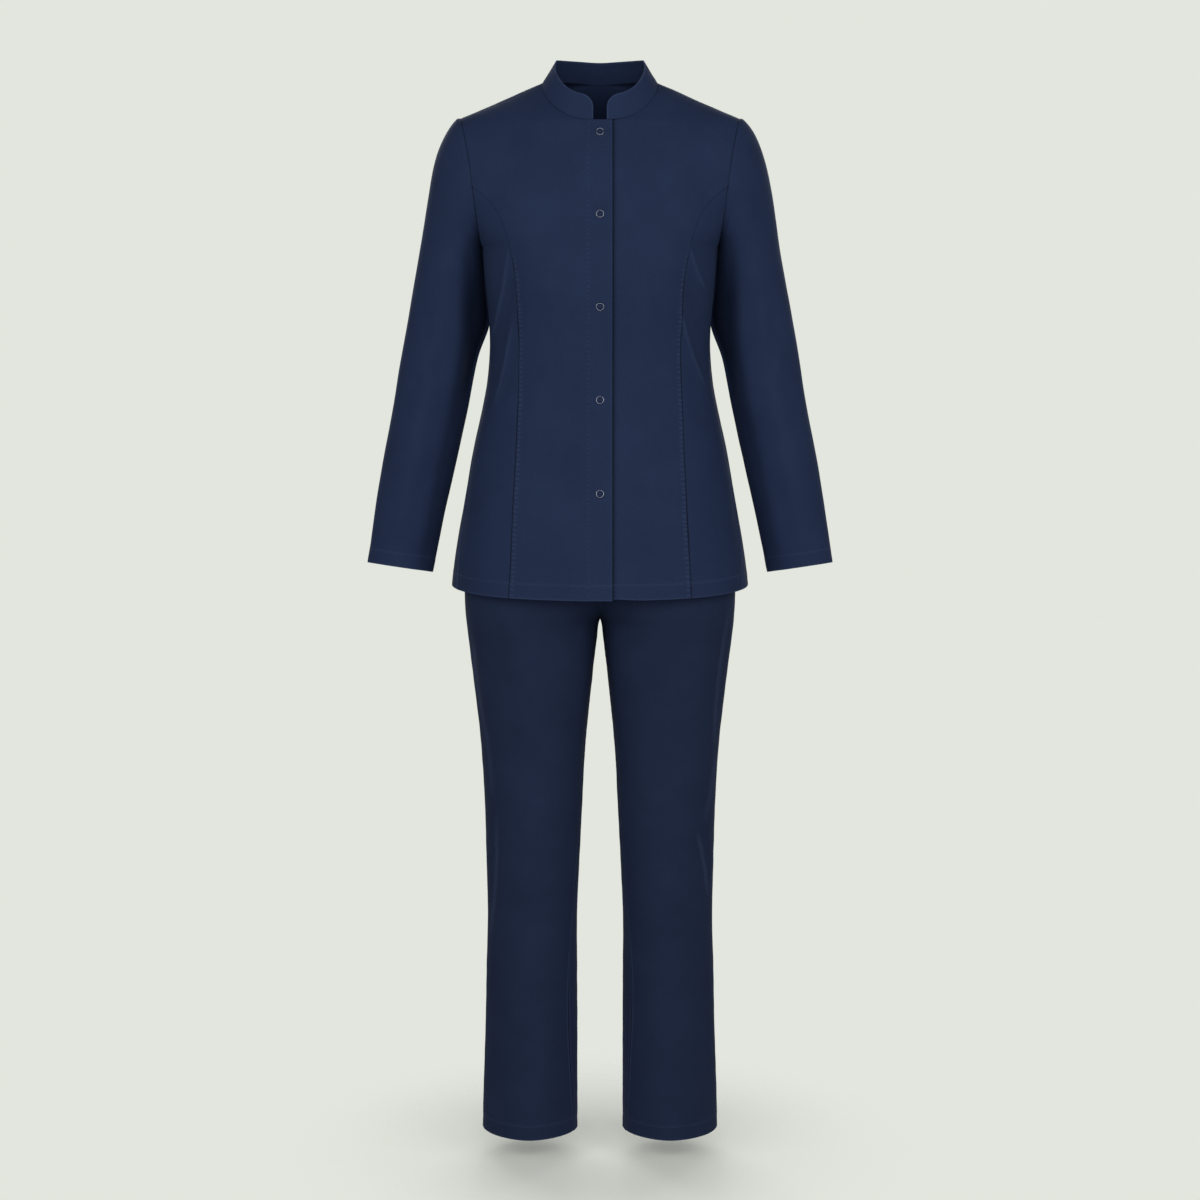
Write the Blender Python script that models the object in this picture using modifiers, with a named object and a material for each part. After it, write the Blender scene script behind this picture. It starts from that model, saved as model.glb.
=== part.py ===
"""A tunic and trousers set for work, filled out as if worn, with no wearer in it.

Frame: +Z is up, the front faces -Y and +X is the wearer's left. The origin lies on
the centre line at the height of the shoulder tips, where the wearer carries the tunic.
All sizes below are in millimetres and turn into metres when a mesh is made.
"""

import math

import bpy
import bmesh
from mathutils import Vector

MM = 0.001

# Cloth and seams
CLOTH = 1.5  # wall of the sewn cloth with its turned edges
SEAM_GAP = 0.3  # between pieces that are sewn together
SHOULDER_GAP = 0.9  # wider, because the two walls meet over a ridge

# Closing down the centre front
PLACKET_HALF = 16.0  # from the centre line to the edge of each front
CLOSING_FADE = 45.0  # beyond the closing, the two layers blend into one over this
TOP_LAYER_RISE = 1.1
UNDER_LAYER_DROP = 0.9
UNDER_HEM_LIFT = 2.0  # the under front is this much shorter at the centre

# Levels of the tunic
HEM_Z = -620.0
ARMPIT_Z = -167.0
NECK_FRONT_Z = -1.0
NAPE_Z = 44.0
SIDE_Y = 5.0  # the body is widest here

# The ring that the armhole follows, from the shoulder tip to the armpit
SHOULDER_TIP = Vector((183.0, SIDE_Y, 0.0))
ARMPIT = Vector((157.0, SIDE_Y, ARMPIT_Z))
ARMHOLE_FRONT = 61.0
ARMHOLE_BACK = 57.0
ARMHOLE_SCOOP = 6.0  # how far the upper armhole bites into the chest
PRINCESS_TOP_ANGLE = 93.0  # on the armhole, where the princess seam starts
NECK_CORNER_ANGLE = 45.0  # rows from angles under this start on the front neckline
NAPE_ANGLE = 60.0  # and under this on the back neckline
RING_STEP = 1.5  # level distance that stands for one degree of the armhole

# Neckline: the front half starts at the closing and ends at the neck point
NECK_POINT = Vector((76.2, 6.0, 45.0))
NECK_FRONT = (Vector((PLACKET_HALF, -58.0, NECK_FRONT_Z)), Vector((50.0, -57.0, NECK_FRONT_Z)),
              Vector((77.0, -28.0, 27.0)), NECK_POINT)
NECK_BACK = (NECK_POINT, Vector((76.0, 32.0, 50.0)), Vector((42.0, 71.0, 48.0)),
             Vector((0.0, 72.0, NAPE_Z)))

# Stand collar
COLLAR_END_X = 9.0  # half the gap between the two ends
COLLAR_CORNER = 17.0  # radius of the rounded ends
COLLAR_COLUMNS = ("place", "lean", "rise")  # place: 0 front end, 0.5 neck point, 1 nape
COLLAR = [
    (0.00, 6.0, 32.5),
    (0.25, 12.0, 32.0),
    (0.50, 17.0, 29.5),
    (0.75, 14.5, 27.5),
    (1.00, 12.0, 28.5),
]

# Centre lines of the tunic seen from the side: depth in front of and behind the axis
FRONT_LINE_COLUMNS = ("height", "depth")
FRONT_LINE = [
    (-620.0, 146.0),
    (-550.0, 138.0),
    (-482.0, 128.0),
    (-420.0, 119.0),
    (-361.0, 113.0),
    (-300.0, 112.0),
    (-240.0, 118.0),
    (-190.0, 120.0),
    (-150.0, 115.0),
    (-100.0, 102.0),
    (-60.0, 88.0),
    (-25.0, 71.0),
    (-1.0, 58.0),
]
BACK_LINE_COLUMNS = ("height", "depth")
BACK_LINE = [
    (-620.0, 141.0),
    (-560.0, 136.0),
    (-500.0, 125.0),
    (-440.0, 109.0),
    (-380.0, 92.0),
    (-320.0, 83.0),
    (-260.0, 88.0),
    (-200.0, 99.0),
    (-140.0, 106.0),
    (-70.0, 104.0),
    (0.0, 90.0),
    (44.0, 72.0),
]

# Tunic seen from the front, under the arms. side_seam is how far round the front
# half the side seam lies, where 1 is the widest point.
BODY_COLUMNS = ("height", "half_width", "side_seam")
BODY = [
    (-620.0, 199.8, 0.80),
    (-573.0, 193.9, 0.84),
    (-519.0, 184.1, 0.89),
    (-465.0, 174.3, 0.95),
    (-424.0, 165.8, 1.00),
    (-384.0, 156.8, 1.00),
    (-344.0, 149.4, 1.00),
    (-305.0, 146.4, 1.00),
    (-266.0, 147.9, 1.00),
    (-212.0, 153.2, 1.00),
    (-167.0, 157.0, 1.00),
]
FULL_FRONT = 0.60  # of the half width, how squarely the front turns to the side
FULL_SIDE = 0.56  # of the depth, how squarely the side turns to front and back
FULL_BACK = 0.58

# Directions in which the rows above the armpit leave their two ends. in_ is at the
# centre or neck end, out_ at the armhole.
UPPER_COLUMNS = ("angle", "in_x", "in_y", "in_z", "out_x", "out_y", "out_z")
FRONT_UPPER = [
    (150.0, 84.0, 0.0, 0.0, -9.0, -56.0, 2.0),
    (120.0, 82.0, 0.0, 0.0, -30.0, -41.0, 4.0),
    (93.0, 78.0, 0.0, 0.0, -43.0, -27.0, 5.0),
    (68.0, 70.0, -1.0, -2.0, -46.0, -17.0, 6.0),
    (45.0, 56.0, -4.0, -4.0, -46.0, -9.0, 10.0),
    (22.0, 40.0, -1.0, -6.0, -38.0, -3.0, 13.0),
    (0.0, 30.0, 0.0, -14.5, -34.0, 0.0, 15.0),
]
BACK_UPPER = [
    (150.0, 88.0, 0.0, 0.0, -8.0, 46.0, 2.0),
    (120.0, 86.0, 0.0, 0.0, -30.0, 34.0, 4.0),
    (90.0, 78.0, 0.0, 0.0, -46.0, 20.0, 6.0),
    (60.0, 62.0, 1.0, -3.0, -48.0, 11.0, 11.0),
    (30.0, 44.0, 1.0, -9.0, -40.0, 4.0, 14.0),
    (0.0, 30.0, 0.0, -14.5, -34.0, 0.0, 15.0),
]

# Princess seam, as its distance from the centre line; it starts on the armhole
PRINCESS_COLUMNS = ("height", "distance")
PRINCESS = [
    (-622.0, 120.0),
    (-567.0, 117.0),
    (-506.0, 114.0),
    (-400.0, 109.0),
    (-300.0, 106.0),
    (-240.0, 107.8),
    (-207.0, 110.3),
    (-180.0, 114.3),
    (-155.0, 120.0),
    (-134.0, 126.5),
    (-120.0, 133.5),
    (-108.0, 143.0),
    (-97.0, 154.5),
    (-88.0, 168.0),
]

# Sleeve, a row for each ring: its upper outer point, its underarm point, where its
# middle lies and how deep it is in front of and behind that. scoop follows the armhole
# and pitch lifts the ring's front, because the arm bends forward.
SLEEVE_COLUMNS = ("along", "top_x", "top_z", "under_x", "under_z", "mid_y", "front", "back",
                  "scoop", "pitch")
SLEEVE = [
    (0.0, 183.0, 0.0, 157.0, -167.0, 5.0, 61.0, 57.0, 6.0, 0.0),
    (6.0, 188.6, -1.0, 157.9, -170.0, 5.5, 61.0, 57.0, 5.0, 0.0),
    (22.0, 199.6, -14.0, 158.2, -177.0, 7.0, 60.5, 57.0, 3.0, 0.0),
    (50.0, 211.0, -36.0, 157.3, -187.0, 10.0, 60.0, 57.0, 1.0, 0.0),
    (80.0, 219.5, -62.0, 155.8, -200.0, 13.0, 60.0, 57.0, 0.0, 0.0),
    (115.0, 227.2, -98.0, 153.6, -215.0, 17.0, 60.0, 56.5, 0.0, 0.0),
    (175.0, 239.0, -166.0, 150.0, -240.0, 21.0, 59.0, 56.0, 0.0, 0.0),
    (235.0, 250.0, -230.0, 148.2, -272.0, 22.0, 57.0, 55.0, 0.0, 0.0),
    (300.0, 263.0, -300.0, 163.5, -318.0, 18.0, 54.0, 53.0, 0.0, 0.0),
    (370.0, 275.0, -370.0, 177.5, -387.0, 11.0, 51.0, 51.0, 0.0, 0.0),
    (440.0, 288.0, -438.0, 192.4, -454.0, 3.0, 48.0, 48.0, 0.0, 2.0),
    (510.0, 300.0, -508.0, 208.0, -522.0, -5.0, 45.0, 45.0, 0.0, 4.0),
    (595.0, 312.1, -588.3, 224.7, -601.5, -12.0, 41.5, 41.0, 0.0, 6.0),
]

# Trousers, a row for each level of the wearer's left leg: an oval round centre_x
# that is cut off at the centre line above the crotch. inseam is the angle, from
# the outer side round the front, at which the inner seam lies. power is 2 for an
# ellipse and more for a squarer oval.
WAIST_Z = -400.0
WAISTBAND_DROP = 40.0
CROTCH_Z = -664.0
TROUSER_HEM_Z = -1380.0
LEG_COLUMNS = ("height", "centre_x", "half_width", "front", "back", "inseam", "power")
LEG = [
    (-1380.0, 96.7, 64.6, 63.0, 63.5, 160.0, 1.84),
    (-1320.0, 95.9, 63.6, 62.5, 64.0, 152.0, 1.90),
    (-1229.0, 94.2, 62.0, 62.0, 64.0, 145.0, 2.00),
    (-1150.0, 93.4, 61.0, 62.5, 65.0, 144.0, 2.05),
    (-1080.0, 92.4, 59.9, 63.5, 67.0, 152.0, 2.10),
    (-1002.0, 91.4, 62.2, 67.0, 71.0, 158.0, 2.15),
    (-918.0, 90.3, 65.3, 72.0, 77.0, 168.0, 2.20),
    (-834.0, 90.6, 69.9, 79.0, 85.5, 176.0, 2.20),
    (-751.0, 91.0, 78.5, 90.0, 97.0, 180.0, 2.20),
    (-696.0, 91.0, 84.9, 99.0, 107.5, 180.0, 2.20),
    (-664.0, 89.8, 89.6, 104.0, 114.0, 180.0, 2.20),
    (-640.0, 79.5, 101.2, 107.5, 118.0, 180.0, 2.20),
    (-600.0, 60.0, 120.9, 109.0, 119.5, 180.0, 2.20),
    (-540.0, 34.0, 140.0, 107.0, 114.5, 180.0, 2.20),
    (-490.0, 14.0, 146.0, 103.5, 104.0, 180.0, 2.20),
    (-440.0, 0.0, 147.0, 99.0, 92.0, 180.0, 2.20),
    (-400.0, 0.0, 139.0, 96.0, 83.0, 180.0, 2.20),
]

# Soft fullness (plus) and troughs (minus) of the cloth, seen from in front of or
# behind the wearer's left side: a line, how wide it fades and how high it is
FOLD_CLEAR = 40.0  # folds fade out towards the sides over this depth
FOLD_COLUMNS = ("part", "face", "x_1", "z_1", "x_2", "z_2", "width", "height")
FOLDS = [
    ("body", "front", 88.0, -185.0, 84.0, -215.0, 55.0, 5.0),
    ("body", "front", 122.0, -275.0, 128.0, -340.0, 16.0, -2.2),
    ("body", "front", 140.0, -470.0, 158.0, -600.0, 24.0, 2.4),
    ("body", "front", 62.0, -455.0, 70.0, -618.0, 34.0, -2.0),
    ("body", "back", 95.0, -90.0, 90.0, -150.0, 45.0, 3.5),
    ("body", "back", 78.0, -290.0, 74.0, -350.0, 26.0, -3.0),
    ("body", "back", 60.0, -480.0, 66.0, -618.0, 34.0, -3.0),
    ("body", "back", 128.0, -500.0, 146.0, -618.0, 28.0, 2.5),
    ("sleeve", "front", 186.0, -215.0, 208.0, -330.0, 15.0, -2.6),
    ("sleeve", "front", 236.0, -360.0, 262.0, -520.0, 18.0, 2.2),
    ("sleeve", "back", 196.0, -300.0, 232.0, -345.0, 14.0, -3.0),
    ("sleeve", "back", 210.0, -395.0, 246.0, -372.0, 12.0, -2.4),
    ("leg", "front", 134.0, -690.0, 132.0, -850.0, 22.0, -3.0),
    ("leg", "front", 60.0, -700.0, 78.0, -880.0, 22.0, -2.2),
    ("leg", "front", 92.0, -1010.0, 96.0, -1360.0, 26.0, 2.0),
    ("leg", "back", 60.0, -690.0, 112.0, -745.0, 22.0, -3.5),
    ("leg", "back", 92.0, -900.0, 94.0, -1300.0, 26.0, 2.5),
    ("leg", "back", 120.0, -980.0, 76.0, -1010.0, 16.0, -2.5),
]

# Snaps down the front: open rings of metal
SNAP_HEIGHTS = (-17.0, -121.3, -240.0, -361.0, -481.7)
SNAP_RING = 4.8  # radius to the middle of the ring
SNAP_WIRE = 0.95  # radius of the ring's round section

# How finely each piece is divided
HEM_TO_ARMPIT_STEPS = 13
CHEST_SHARES = (0.2, 0.4, 0.6, 0.77, 0.89, 0.975, 1.0)  # rows up to the princess top
SHOULDER_STEPS = 3
BACK_CHEST_STEPS = 7
BODY_ACROSS = 9
SIDE_ACROSS = 6
SLEEVE_ROUND = 20
SLEEVE_RINGS = (0, 6, 14, 24, 37, 52, 70, 92, 118, 150, 190, 235, 285, 340, 400, 460, 520, 570, 595)
COLLAR_UP = 4
LEG_ACROSS = 11
RISE_STEPS = 8
RISE_CROWDING = 1.7  # above 1 the rows above the crotch lie closer together near it
LEG_STEPS = 14
SEAM_STRIP = 0.025  # of a piece's width, the narrow step along each of its seams
NECK_STEPS = (0.0, 0.06, 0.14, 0.25, 0.4, 0.55, 0.7, 0.85, 1.0)
COLLAR_END_FEET = (COLLAR_END_X, 10.5, 13.0)  # closer together on the rounded end
SNAP_ROUND = 18
SNAP_WIRE_ROUND = 6
WELD = 0.02  # corners closer than this are one

# Colours, as linear values of the dyed twill and of the snaps
TUNIC_NAVY = (0.0185, 0.0284, 0.0667, 1.0)
TROUSER_NAVY = (0.0144, 0.0212, 0.0467, 1.0)
SNAP_GREY = (0.26, 0.28, 0.31, 1.0)


# Reading the tables

def named(columns, rows):
    """A table as one list for each of its named columns, lowest key first."""
    ordered = sorted(rows)
    return {name: [row[i] for row in ordered] for i, name in enumerate(columns)}


def smooth_value(keys, values, at):
    """The value at a key, on a smooth curve through the rows."""
    at = min(max(at, keys[0]), keys[-1])
    last = len(keys) - 2
    i = next((n for n in range(last) if at <= keys[n + 1]), last)

    def slope(n):
        low, high = max(n - 1, 0), min(n + 1, len(keys) - 1)
        return (values[high] - values[low]) / (keys[high] - keys[low])

    span = keys[i + 1] - keys[i]
    t = (at - keys[i]) / span
    return ((2 * t**3 - 3 * t**2 + 1) * values[i] + (t**3 - 2 * t**2 + t) * span * slope(i)
            + (3 * t**2 - 2 * t**3) * values[i + 1] + (t**3 - t**2) * span * slope(i + 1))


def reader(columns, rows):
    """A function that reads any named column at any value of the first one."""
    table = named(columns, rows)
    keys = table[columns[0]]
    return lambda name, at: smooth_value(keys, table[name], at)


front_line = reader(FRONT_LINE_COLUMNS, FRONT_LINE)
back_line = reader(BACK_LINE_COLUMNS, BACK_LINE)
body = reader(BODY_COLUMNS, BODY)
princess = reader(PRINCESS_COLUMNS, PRINCESS)
sleeve = reader(SLEEVE_COLUMNS, SLEEVE)
leg = reader(LEG_COLUMNS, LEG)
collar = reader(COLLAR_COLUMNS, COLLAR)


def bezier(points, t):
    """A point on the cubic curve through four control points."""
    a, b, c, d = points
    s = 1 - t
    return a * s**3 + b * (3 * s * s * t) + c * (3 * s * t * t) + d * t**3


def spread(start, end, steps):
    """Even values from start to end, both included."""
    return [start + (end - start) * i / steps for i in range(steps + 1)]


def seam_spread(start, end, steps):
    """Values from start to end, with a narrow step at each seam so that the walls of
    two pieces meet there in one plane."""
    inner = spread(start + (end - start) * SEAM_STRIP, end - (end - start) * SEAM_STRIP, steps - 2)
    return [start, *inner, end]


# The tunic's body as a surface of rows, each at its own level. A level is a height
# above the armpit; over the armpit it counts degrees of the armhole instead.

def ring_angle(level):
    """The angle on the armhole, 180 at the armpit and 0 at the shoulder tip."""
    return 180.0 - max(level, 0.0) / RING_STEP


def level_of(angle):
    return (180.0 - angle) * RING_STEP


SHOULDER_LEVEL = level_of(0.0)
NECK_CORNER_LEVEL = level_of(NECK_CORNER_ANGLE)
NAPE_LEVEL = level_of(NAPE_ANGLE)
PRINCESS_TOP_LEVEL = level_of(PRINCESS_TOP_ANGLE)


def armhole(angle, depth):
    """A point on the armhole; depth is positive on the back, negative on the front."""
    turn = math.radians(angle)
    middle = (SHOULDER_TIP + ARMPIT) / 2
    reach = (SHOULDER_TIP - ARMPIT) / 2
    point = middle + reach * math.cos(turn) + Vector((0.0, depth * math.sin(turn), 0.0))
    point.x -= ARMHOLE_SCOOP * math.sin(turn)**2 * (1 + math.cos(turn)) / 2
    return point


def lower_controls(level, line, facing, start_x, fullness):
    """Control points of a half row under the arm, from the middle to the side."""
    height = ARMPIT_Z + level
    half = body("half_width", height)
    depth = line("depth", height)
    middle = Vector((start_x, facing * depth, height))
    side = Vector((half, SIDE_Y, height))
    turn = FULL_SIDE * (facing * depth - SIDE_Y)
    return (middle, Vector((fullness * (half - start_x), 0.0, 0.0)),
            Vector((0.0, turn, 0.0)), side)


def handle_readers(upper, line, facing, start_x, fullness):
    """The two handles of each row as smooth functions of its level."""
    names = UPPER_COLUMNS[1:]
    rows = [(level_of(row[0]), *row[1:]) for row in upper]
    for row in BODY:
        level = row[0] - ARMPIT_Z
        controls = lower_controls(level, line, facing, start_x, fullness)
        rows.append((level, *controls[1], *controls[2]))
    read = reader(("level", *names), rows)
    return lambda level: (Vector([read(n, level) for n in names[:3]]),
                          Vector([read(n, level) for n in names[3:]]))


front_handles = handle_readers(FRONT_UPPER, front_line, -1, PLACKET_HALF, FULL_FRONT)
back_handles = handle_readers(BACK_UPPER, back_line, 1, 0.0, FULL_BACK)


def front_row(level):
    """Controls of the front's row, from the closing or neckline to side or armhole."""
    into, out = front_handles(level)
    if level <= 0.0:
        start, _, _, end = lower_controls(level, front_line, -1, PLACKET_HALF, FULL_FRONT)
    else:
        end = armhole(ring_angle(level), -ARMHOLE_FRONT)
        share = level / NECK_CORNER_LEVEL
        height = ARMPIT_Z + (NECK_FRONT_Z - ARMPIT_Z) * share
        start = Vector((PLACKET_HALF, -front_line("depth", height), height))
        if share > 1.0:
            start = bezier(NECK_FRONT, (level - NECK_CORNER_LEVEL) / (SHOULDER_LEVEL - NECK_CORNER_LEVEL))
    return start, start + into, end + out, end


def back_row(level):
    """Controls of the back's row, from side or armhole to centre back or neckline."""
    into, out = back_handles(level)
    if level <= 0.0:
        start, _, _, end = lower_controls(level, back_line, 1, 0.0, FULL_BACK)
    else:
        end = armhole(ring_angle(level), ARMHOLE_BACK)
        share = level / NAPE_LEVEL
        height = ARMPIT_Z + (NAPE_Z - ARMPIT_Z) * share
        start = Vector((0.0, back_line("depth", height), height))
        if share > 1.0:
            start = bezier(NECK_BACK, 1 - (level - NAPE_LEVEL) / (SHOULDER_LEVEL - NAPE_LEVEL))
    return end, end + out, start + into, start


def front_point(level, around):
    """A point of the front: around is 0 at the closing and 1 at the side."""
    return shaped(bezier(front_row(level), around), "body", "front", SIDE_Y)


def back_point(level, around):
    """A point of the back, which starts on the front under the arm: 1 is the side and
    2 the centre back."""
    if around < 1.0:
        return front_point(level, around)
    return shaped(bezier(back_row(level), around - 1.0), "body", "back", SIDE_Y)


def side_seam(level):
    return body("side_seam", ARMPIT_Z + min(level, 0.0))


def princess_at(level):
    """Where round the body the princess seam crosses a row; 1 above its start."""
    if level >= PRINCESS_TOP_LEVEL:
        return 1.0
    row = front_row(level)
    low, high = 0.0, 1.0
    for _ in range(30):
        middle = (low + high) / 2
        point = bezier(row, middle)
        if point.x < princess("distance", point.z):
            low = middle
        else:
            high = middle
    return high


# Folds

def shaped(point, part, face, side_y):
    """The point moved out or in by the soft folds near it, less so near the sides."""
    facing = -1.0 if face == "front" else 1.0
    clear = min(abs(point.y - side_y) / FOLD_CLEAR, 1.0)
    facing *= clear * clear * (3 - 2 * clear)
    moved = point.copy()
    for fold in FOLDS:
        row = dict(zip(FOLD_COLUMNS, fold))
        if row["part"] != part or row["face"] != face:
            continue
        start = Vector((row["x_1"], row["z_1"]))
        run = Vector((row["x_2"], row["z_2"])) - start
        here = Vector((point.x, point.z)) - start
        share = min(max(here.dot(run) / run.length_squared, 0.0), 1.0)
        away = (here - run * share).length / row["width"]
        moved.y += facing * row["height"] * math.exp(-away * away)
    return moved


# Grids and meshes

def pulled(line, start_gap, end_gap):
    """A line of points with each end drawn back along it by its gap."""
    points = [p.copy() for p in line]
    points[0] += (line[1] - line[0]).normalized() * start_gap
    points[-1] += (line[-2] - line[-1]).normalized() * end_gap
    return points


def pulled_ends(rows, first_gap, last_gap):
    """A grid with its first and last rows drawn back along the columns."""
    columns = [pulled(column, first_gap, last_gap) for column in zip(*rows)]
    return [list(row) for row in zip(*columns)]


def mirrored(rows):
    return [[Vector((-p.x, p.y, p.z)) for p in row] for row in rows]


def add_grid(mesh, rows, flip=False, closed=False):
    """Quads between rows of points, in a bmesh in metres."""
    grid = [[mesh.verts.new(p * MM) for p in row] for row in rows]
    across = len(rows[0])
    last = across if closed else across - 1
    for lower, upper in zip(grid, grid[1:]):
        for j in range(last):
            k = (j + 1) % across
            corners = [lower[j], lower[k], upper[k], upper[j]]
            mesh.faces.new(corners[::-1] if flip else corners)


def cloth_piece(name, grids, material):
    """One named piece: its grids welded, and given the wall of the cloth inwards."""
    mesh = bmesh.new()
    for rows, flip, closed in grids:
        add_grid(mesh, rows, flip, closed)
    bmesh.ops.remove_doubles(mesh, verts=mesh.verts, dist=WELD * MM)
    data = bpy.data.meshes.new(name)
    mesh.to_mesh(data)
    mesh.free()
    data.shade_smooth()
    piece = bpy.data.objects.new(name, data)
    piece.data.materials.append(material)
    wall = piece.modifiers.new("cloth", "SOLIDIFY")
    wall.thickness = CLOTH * MM
    wall.offset = -1.0
    return piece


def add_piece(pieces, name, rows, material, left, flip=False):
    """The piece of the wearer's left or right side from rows of the left side."""
    if left:
        pieces.append(cloth_piece(name + "_left", [(rows, flip, False)], material))
    else:
        pieces.append(cloth_piece(name + "_right", [(mirrored(rows), not flip, False)], material))


# Levels at which the body's pieces have their rows

def lower_levels():
    return spread(HEM_Z - ARMPIT_Z, 0.0, HEM_TO_ARMPIT_STEPS)


def front_levels():
    chest = [PRINCESS_TOP_LEVEL * share for share in CHEST_SHARES]
    upper = spread(PRINCESS_TOP_LEVEL, NECK_CORNER_LEVEL, SHOULDER_STEPS)
    return lower_levels() + chest + upper[1:]


def neck_levels(corner):
    return [corner + (SHOULDER_LEVEL - corner) * share for share in NECK_STEPS]


# Fronts with their closing

def closing_layer(point, top):
    """Parts the two fronts where they cross, the right one outside the left one."""
    beyond = min(max((point.x - PLACKET_HALF) / CLOSING_FADE, 0.0), 1.0)
    share = 1.0 - beyond * beyond * (3 - 2 * beyond)
    moved = point.copy()
    if top:
        moved.y -= TOP_LAYER_RISE * share
        return moved
    moved.y += UNDER_LAYER_DROP * share
    above_hem = min(max((point.z - HEM_Z) / CLOSING_FADE, 0.0), 1.0)
    moved.z += UNDER_HEM_LIFT * share * (1 - above_hem)
    return moved


def front_piece(left, material):
    """A front from its edge past the centre line to the princess seam and armhole."""
    main = []
    strip = []
    for level in front_levels() + neck_levels(NECK_CORNER_LEVEL)[1:]:
        across = seam_spread(0.0, princess_at(level), BODY_ACROSS)
        main.append(pulled([front_point(level, t) for t in across], 0.0, SEAM_GAP / 2))
        if level <= NECK_CORNER_LEVEL + 0.01:
            edge = main[-1][0]
            strip.append([Vector((x, edge.y, edge.z)) for x in spread(-PLACKET_HALF, PLACKET_HALF, 2)])
    neck_row = len(strip) - 1
    main = pulled_ends(main, 0.0, SHOULDER_GAP / 2)
    for row in main[neck_row + 1:]:
        row[0] += (row[1] - row[0]).normalized() * SEAM_GAP / 2
    main[neck_row][0].z -= SEAM_GAP / 2
    for point in strip[-1]:
        point.z -= SEAM_GAP / 2
    grids = []
    for rows in (strip, main):
        layered = [[closing_layer(p, not left) for p in row] for row in rows]
        if left:
            grids.append((layered, False, False))
        else:
            grids.append((mirrored(layered), True, False))
    return cloth_piece("front_left" if left else "front_right", grids, material)


def side_front_rows():
    rows = []
    for level in front_levels():
        if level < PRINCESS_TOP_LEVEL - 0.01:
            across = seam_spread(princess_at(level), side_seam(level), SIDE_ACROSS)
            rows.append(pulled([front_point(level, t) for t in across], SEAM_GAP / 2, SEAM_GAP / 2))
    return rows


def back_piece(material):
    """The whole back, its two halves welded down the centre."""
    rows = []
    upper = spread(0.0, NAPE_LEVEL, BACK_CHEST_STEPS)
    for level in lower_levels() + upper[1:] + neck_levels(NAPE_LEVEL)[1:]:
        across = seam_spread(side_seam(level), 2.0, BODY_ACROSS)
        on_neck = SEAM_GAP / 2 if level > NAPE_LEVEL + 0.01 else 0.0
        rows.append(pulled([back_point(level, t) for t in across], SEAM_GAP / 2, on_neck))
    nape_row = HEM_TO_ARMPIT_STEPS + BACK_CHEST_STEPS
    rows[nape_row][-1].z -= SEAM_GAP / 2
    rows = pulled_ends(rows, 0.0, SHOULDER_GAP / 2)
    return cloth_piece("back", [(rows, False, False), (mirrored(rows), True, False)], material)


# Sleeves

def sleeve_point(along, angle):
    """A point of the left sleeve; angle is 0 on top and 90 at the front."""
    turn = math.radians(angle)
    top = Vector((sleeve("top_x", along), 0.0, sleeve("top_z", along)))
    under = Vector((sleeve("under_x", along), 0.0, sleeve("under_z", along)))
    front = math.sin(turn) > 0
    depth = sleeve("front" if front else "back", along)
    point = (top + under) / 2 + (top - under) / 2 * math.cos(turn)
    point.y = sleeve("mid_y", along) - depth * math.sin(turn)
    point.x -= sleeve("scoop", along) * math.sin(turn)**2 * (1 + math.cos(turn)) / 2
    point.z += sleeve("pitch", along) * math.sin(turn)
    return shaped(point, "sleeve", "front" if front else "back", sleeve("mid_y", along))


def sleeve_rows():
    away = (SHOULDER_TIP - ARMPIT).normalized().cross(Vector((0.0, 1.0, 0.0)))
    rows = []
    for along in SLEEVE_RINGS:
        angles = spread(0.0, 360.0, SLEEVE_ROUND)[:-1]
        rows.append([sleeve_point(along, angle) for angle in angles])
    shift = away * (-SEAM_GAP if away.x < 0 else SEAM_GAP)
    return [[p + shift for p in row] for row in rows]


# Collar

def collar_columns():
    """Feet of the collar on the left neckline: place, foot and distance from its end."""
    columns = []
    for x in COLLAR_END_FEET:
        foot = Vector((x, NECK_FRONT[0].y, NECK_FRONT_Z))
        columns.append((0.0, foot, x - COLLAR_END_X))
    run = PLACKET_HALF - COLLAR_END_X
    before = NECK_FRONT[0]
    for half, curve in enumerate((NECK_FRONT, NECK_BACK)):
        steps = NECK_STEPS if half == 0 else [1 - s for s in reversed(NECK_STEPS)][1:]
        for t in steps:
            foot = bezier(curve, t)
            run += (foot - before).length
            before = foot
            columns.append(((half + t) / 2, foot, run))
    return columns


def collar_rows():
    """Rows of the left half, from the neckline up, front end first."""
    columns = collar_columns()
    rows = [[] for _ in range(COLLAR_UP + 1)]
    for n, (place, foot, run) in enumerate(columns):
        before = columns[max(n - 1, 0)][1]
        if n + 1 < len(columns):
            after = columns[n + 1][1]
        else:
            after = Vector((-before.x, before.y, before.z))
        inward = Vector((before.y - after.y, after.x - before.x, 0.0)).normalized()
        stand = inward * collar("lean", place) + Vector((0.0, 0.0, collar("rise", place)))
        height = 1.0
        if run < COLLAR_CORNER:
            cut = COLLAR_CORNER - run
            height -= (COLLAR_CORNER - math.sqrt(COLLAR_CORNER**2 - cut**2)) / stand.length
        foot = foot + stand.normalized() * SEAM_GAP
        for i in range(COLLAR_UP + 1):
            rows[i].append(foot + stand * (height * i / COLLAR_UP))
    return rows


def collar_piece(material):
    rows = collar_rows()
    return cloth_piece("collar", [(rows, False, False), (mirrored(rows), True, False)], material)


# Trousers

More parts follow.
